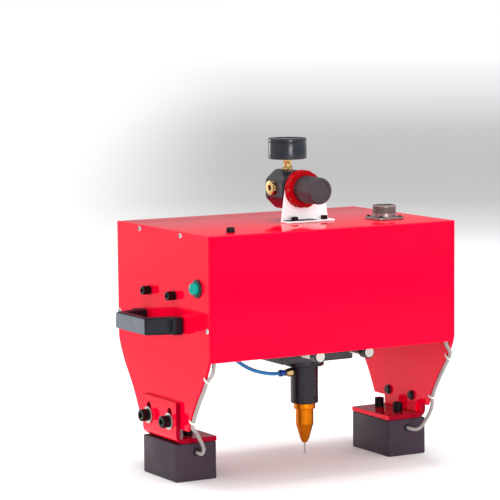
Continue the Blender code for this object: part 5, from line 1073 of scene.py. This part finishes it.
fit(case, case_black, "housing", "black_plastic", "gauge_case")
levels = rectangle(0, dial_height, DIAL_RADIUS, dial_height + DIAL_SHEET)
dial = turned("gauge_dial", levels, "Z", gauge_axis, 64)
fit(dial, dial_white, "housing", "white_paint")
work = bmesh.new()
for index in range(MARKS + 1):
    angle = math.radians(DIAL_START + DIAL_SWEEP * index / MARKS)
    start, half_width = LONG_MARK if index % 10 == 0 else SHORT_MARK
    out = Vector((math.cos(angle), math.sin(angle), 0))
    across = Vector((-math.sin(angle), math.cos(angle), 0))
    centre = Vector((gauge_x, gauge_y, dial_height + PRINT_LIFT))
    work.faces.new([work.verts.new(centre + out * reach + across * half_width * way)
                    for reach, way in ((start, -1), (MARK_REACH, -1), (MARK_REACH, 1), (start, 1))])
marks = piece_from("dial_marks", work)
fit(marks, print_black, "housing", "white_paint")
for index in range(NUMBERS):
    angle = math.radians(DIAL_START + DIAL_SWEEP * index / (NUMBERS - 1))
    figures = bpy.data.curves.new(f"dial_number_{index}", "FONT")
    figures.body = str(index * 2)
    figures.size = NUMBER_SIZE
    figures.align_x, figures.align_y = "CENTER", "CENTER"
    number = bpy.data.objects.new(f"dial_number_{index}", figures)
    number.location = (gauge_x + NUMBER_CIRCLE * math.cos(angle), gauge_y + NUMBER_CIRCLE * math.sin(angle),
                       dial_height + NUMBER_LIFT)
    bpy.context.scene.collection.objects.link(number)
    fit(number, print_black, "housing", "white_paint")
low, high = corners("gauge_pointer")
pointer_line = [(-0.0048, -0.0007), (0, -0.0009), (0.0118, -0.0002), (0.0134, 0), (0.0118, 0.0002),
                (0, 0.0009), (-0.0048, 0.0007)]
needle = slab("needle", pointer_line, "Z", low.z + 0.0003, low.z + 0.0008)
needle.data.transform(Matrix.Rotation(math.radians(DIAL_START), 4, "Z"))
needle.data.transform(Matrix.Translation(gauge_axis))
fit(needle, pointer_black, "gauge_pointer", "white_paint", "gauge_pointer")
levels = rounded(rectangle(0, low.z, HUB_RADIUS, low.z + HUB_HEIGHT), LENS_EDGE)
hub = turned("needle_hub", levels, "Z", gauge_axis, 32)
fit(hub, brass, "gauge_pointer", "white_paint")
glass, tree, shader = new_material("clear lens")
shader.inputs["Base Color"].default_value = LENS_CLEAR
shader.inputs["Transmission Weight"].default_value = 1.0
shader.inputs["IOR"].default_value = LENS_IOR
grain = add_node(tree, "ShaderNodeGroup", {"node_tree": GRAIN}, Fine_Scale=300.0, Broad_Scale=40.0)
rough = add_node(tree, "ShaderNodeMapRange", Value=grain.outputs["Mask"], To_Min=0.0, To_Max=0.03)
tree.links.new(rough.outputs["Result"], shader.inputs["Roughness"])
low, high = corners("gauge_lens")
levels = rounded(rectangle(0, low.z, LENS_RADIUS, high.z), LENS_EDGE)
lens = turned("lens", levels, "Z", gauge_axis, 64)
fit(lens, glass, "housing", "clear_lens", "gauge_lens")
low, high = corners("gauge_stem")
levels = [(0, low.z), (0.0058, low.z), (0.0064, low.z + 0.0004, hexagon), (0.0064, low.z + 0.0022, hexagon),
          (0.0048, low.z + 0.0026), (0.0044, low.z + 0.003), (0.0044, high.z - 0.0034),
          (0.0046, high.z - 0.003), (0.0052, high.z - 0.0026, hexagon), (0.0052, high.z, hexagon),
          (0, high.z)]
stem = turned("stem", levels, "Z", gauge_axis, 48)
fit(stem, brass, "housing", "brass", "gauge_stem")

# Cable connector
# A round multi-pole socket: square flange with four screws, a threaded shell for the plug's
# ring, and a black insert with brass pins.
NICKEL, INSERT_BLACK = (0.35, 0.30, 0.30), (0.02, 0.02, 0.02)
SHELL_HEIGHT, SHELL_RADIUS, SHELL_BORE = 0.015, 0.0128, 0.0095
TAIL_RADIUS, TAIL_LENGTH = 0.011, 0.012
SOCKET_SHEET, SOCKET_ROUNDING = 0.0025, 0.005
SOCKET_SCREW, SOCKET_SCREW_OUT = (0.0024, 0.0014), 0.0122
INSERT_RADIUS, INSERT_HEIGHT, INSERT_EDGE = 0.0092, 0.004, 0.0004
THREAD_TURNS, THREAD_PITCH, THREAD_DEPTH = 5, 0.0014, 0.0007
CONTACTS, CONTACT_CIRCLE, CONTACT_RADIUS, CONTACT_FOOT = 7, 0.006, 0.0008, 0.0038
shell_metal = finish("matt nickel", NICKEL, 0.30, 0.9, broad=60.0, spread=0.15, shade=0.8)
insert_black = finish("insert plastic", INSERT_BLACK, 0.45, broad=60.0, spread=0.1)
low, high = corners("cable_connector")
plug_x, plug_y = (low.x + high.x) / 2, (low.y + high.y) / 2
plug_axis = (plug_x, plug_y, 0)
half = (high.x - low.x) / 2
base = high.z - SHELL_HEIGHT
outline = rectangle(plug_x - half, plug_y - half, plug_x + half, plug_y + half)
outline = rounded(outline, SOCKET_ROUNDING, 5, closed=True)
flange = soft_edges(slab("connector_flange", outline, "Z", base, base + SOCKET_SHEET), PLATE_EDGE)
fit(flange, shell_metal, "housing", "socket_metal", "cable_connector")
levels = [(SHELL_BORE, high.z), (0.0116, high.z), (SHELL_RADIUS, high.z - 0.0012)]
for step in range(THREAD_TURNS):
    height = high.z - 0.0018 - THREAD_PITCH * step
    levels += [(SHELL_RADIUS, height), (SHELL_RADIUS - THREAD_DEPTH, height - THREAD_PITCH / 2),
               (SHELL_RADIUS, height - THREAD_PITCH)]
levels += [(SHELL_RADIUS, base + 0.0024), (TAIL_RADIUS, base + 0.002), (TAIL_RADIUS, base - TAIL_LENGTH),
           (SHELL_BORE, base - TAIL_LENGTH)]
shell = turned("connector_shell", levels, "Z", plug_axis, 72)
fit(shell, shell_metal, "housing", "socket_metal")
out = SOCKET_SCREW_OUT
for index, (x, y) in enumerate(rectangle(plug_x - out, plug_y - out, plug_x + out, plug_y + out)):
    place = (x, y, base + SOCKET_SHEET)
    screw = turned(f"connector_screw_{index}", pan_levels(*SOCKET_SCREW), "Z", place, PAN_SIDES)
    fit(screw, oxide, "housing", "socket_metal")
low, high = corners("connector_insert")
levels = rounded(rectangle(0, low.z, INSERT_RADIUS, low.z + INSERT_HEIGHT), INSERT_EDGE)
insert = turned("pin_insert", levels, "Z", plug_axis, 48)
fit(insert, insert_black, "housing", "black_plastic", "connector_insert")
levels = [(0, low.z + CONTACT_FOOT), (CONTACT_RADIUS, low.z + CONTACT_FOOT),
          (CONTACT_RADIUS, high.z - 0.0006), (CONTACT_RADIUS / 2, high.z), (0, high.z)]
for index in range(CONTACTS):
    angle = 2 * math.pi * index / CONTACTS
    place = (plug_x + CONTACT_CIRCLE * math.cos(angle), plug_y + CONTACT_CIRCLE * math.sin(angle), 0)
    contact = turned(f"pin_{index}", levels, "Z", place, 16)
    fit(contact, brass, "housing", "black_plastic")

# Air fitting
# A small black push-in fitting of moulded nylon on the cover's front left corner. Its thread
# goes through the sheet.
FITTING_HEIGHT, FITTING_BORE, THREAD_RADIUS, THREAD_LENGTH = 0.005, 0.002, 0.003, 0.008
low, high = corners("air_bulkhead")
middle = (low + high) / 2
base = high.z - FITTING_HEIGHT
levels = [
    (FITTING_BORE, base + 0.001), (FITTING_BORE, high.z - 0.0003), (0.0024, high.z), (0.0038, high.z),
    (0.0042, high.z - 0.0005), (0.0042, base + 0.0028), (0.0046, base + 0.0026),
    (0.005, base + 0.0022, hexagon), (0.005, base, hexagon), (THREAD_RADIUS, base),
    (THREAD_RADIUS, base - THREAD_LENGTH), (0, base - THREAD_LENGTH), (0, base + 0.001),
]
bulkhead = turned("push_in_fitting", levels, "Z", (middle.x, middle.y, 0), 48)
fit(bulkhead, nylon, "housing", "black_plastic", "air_bulkhead")
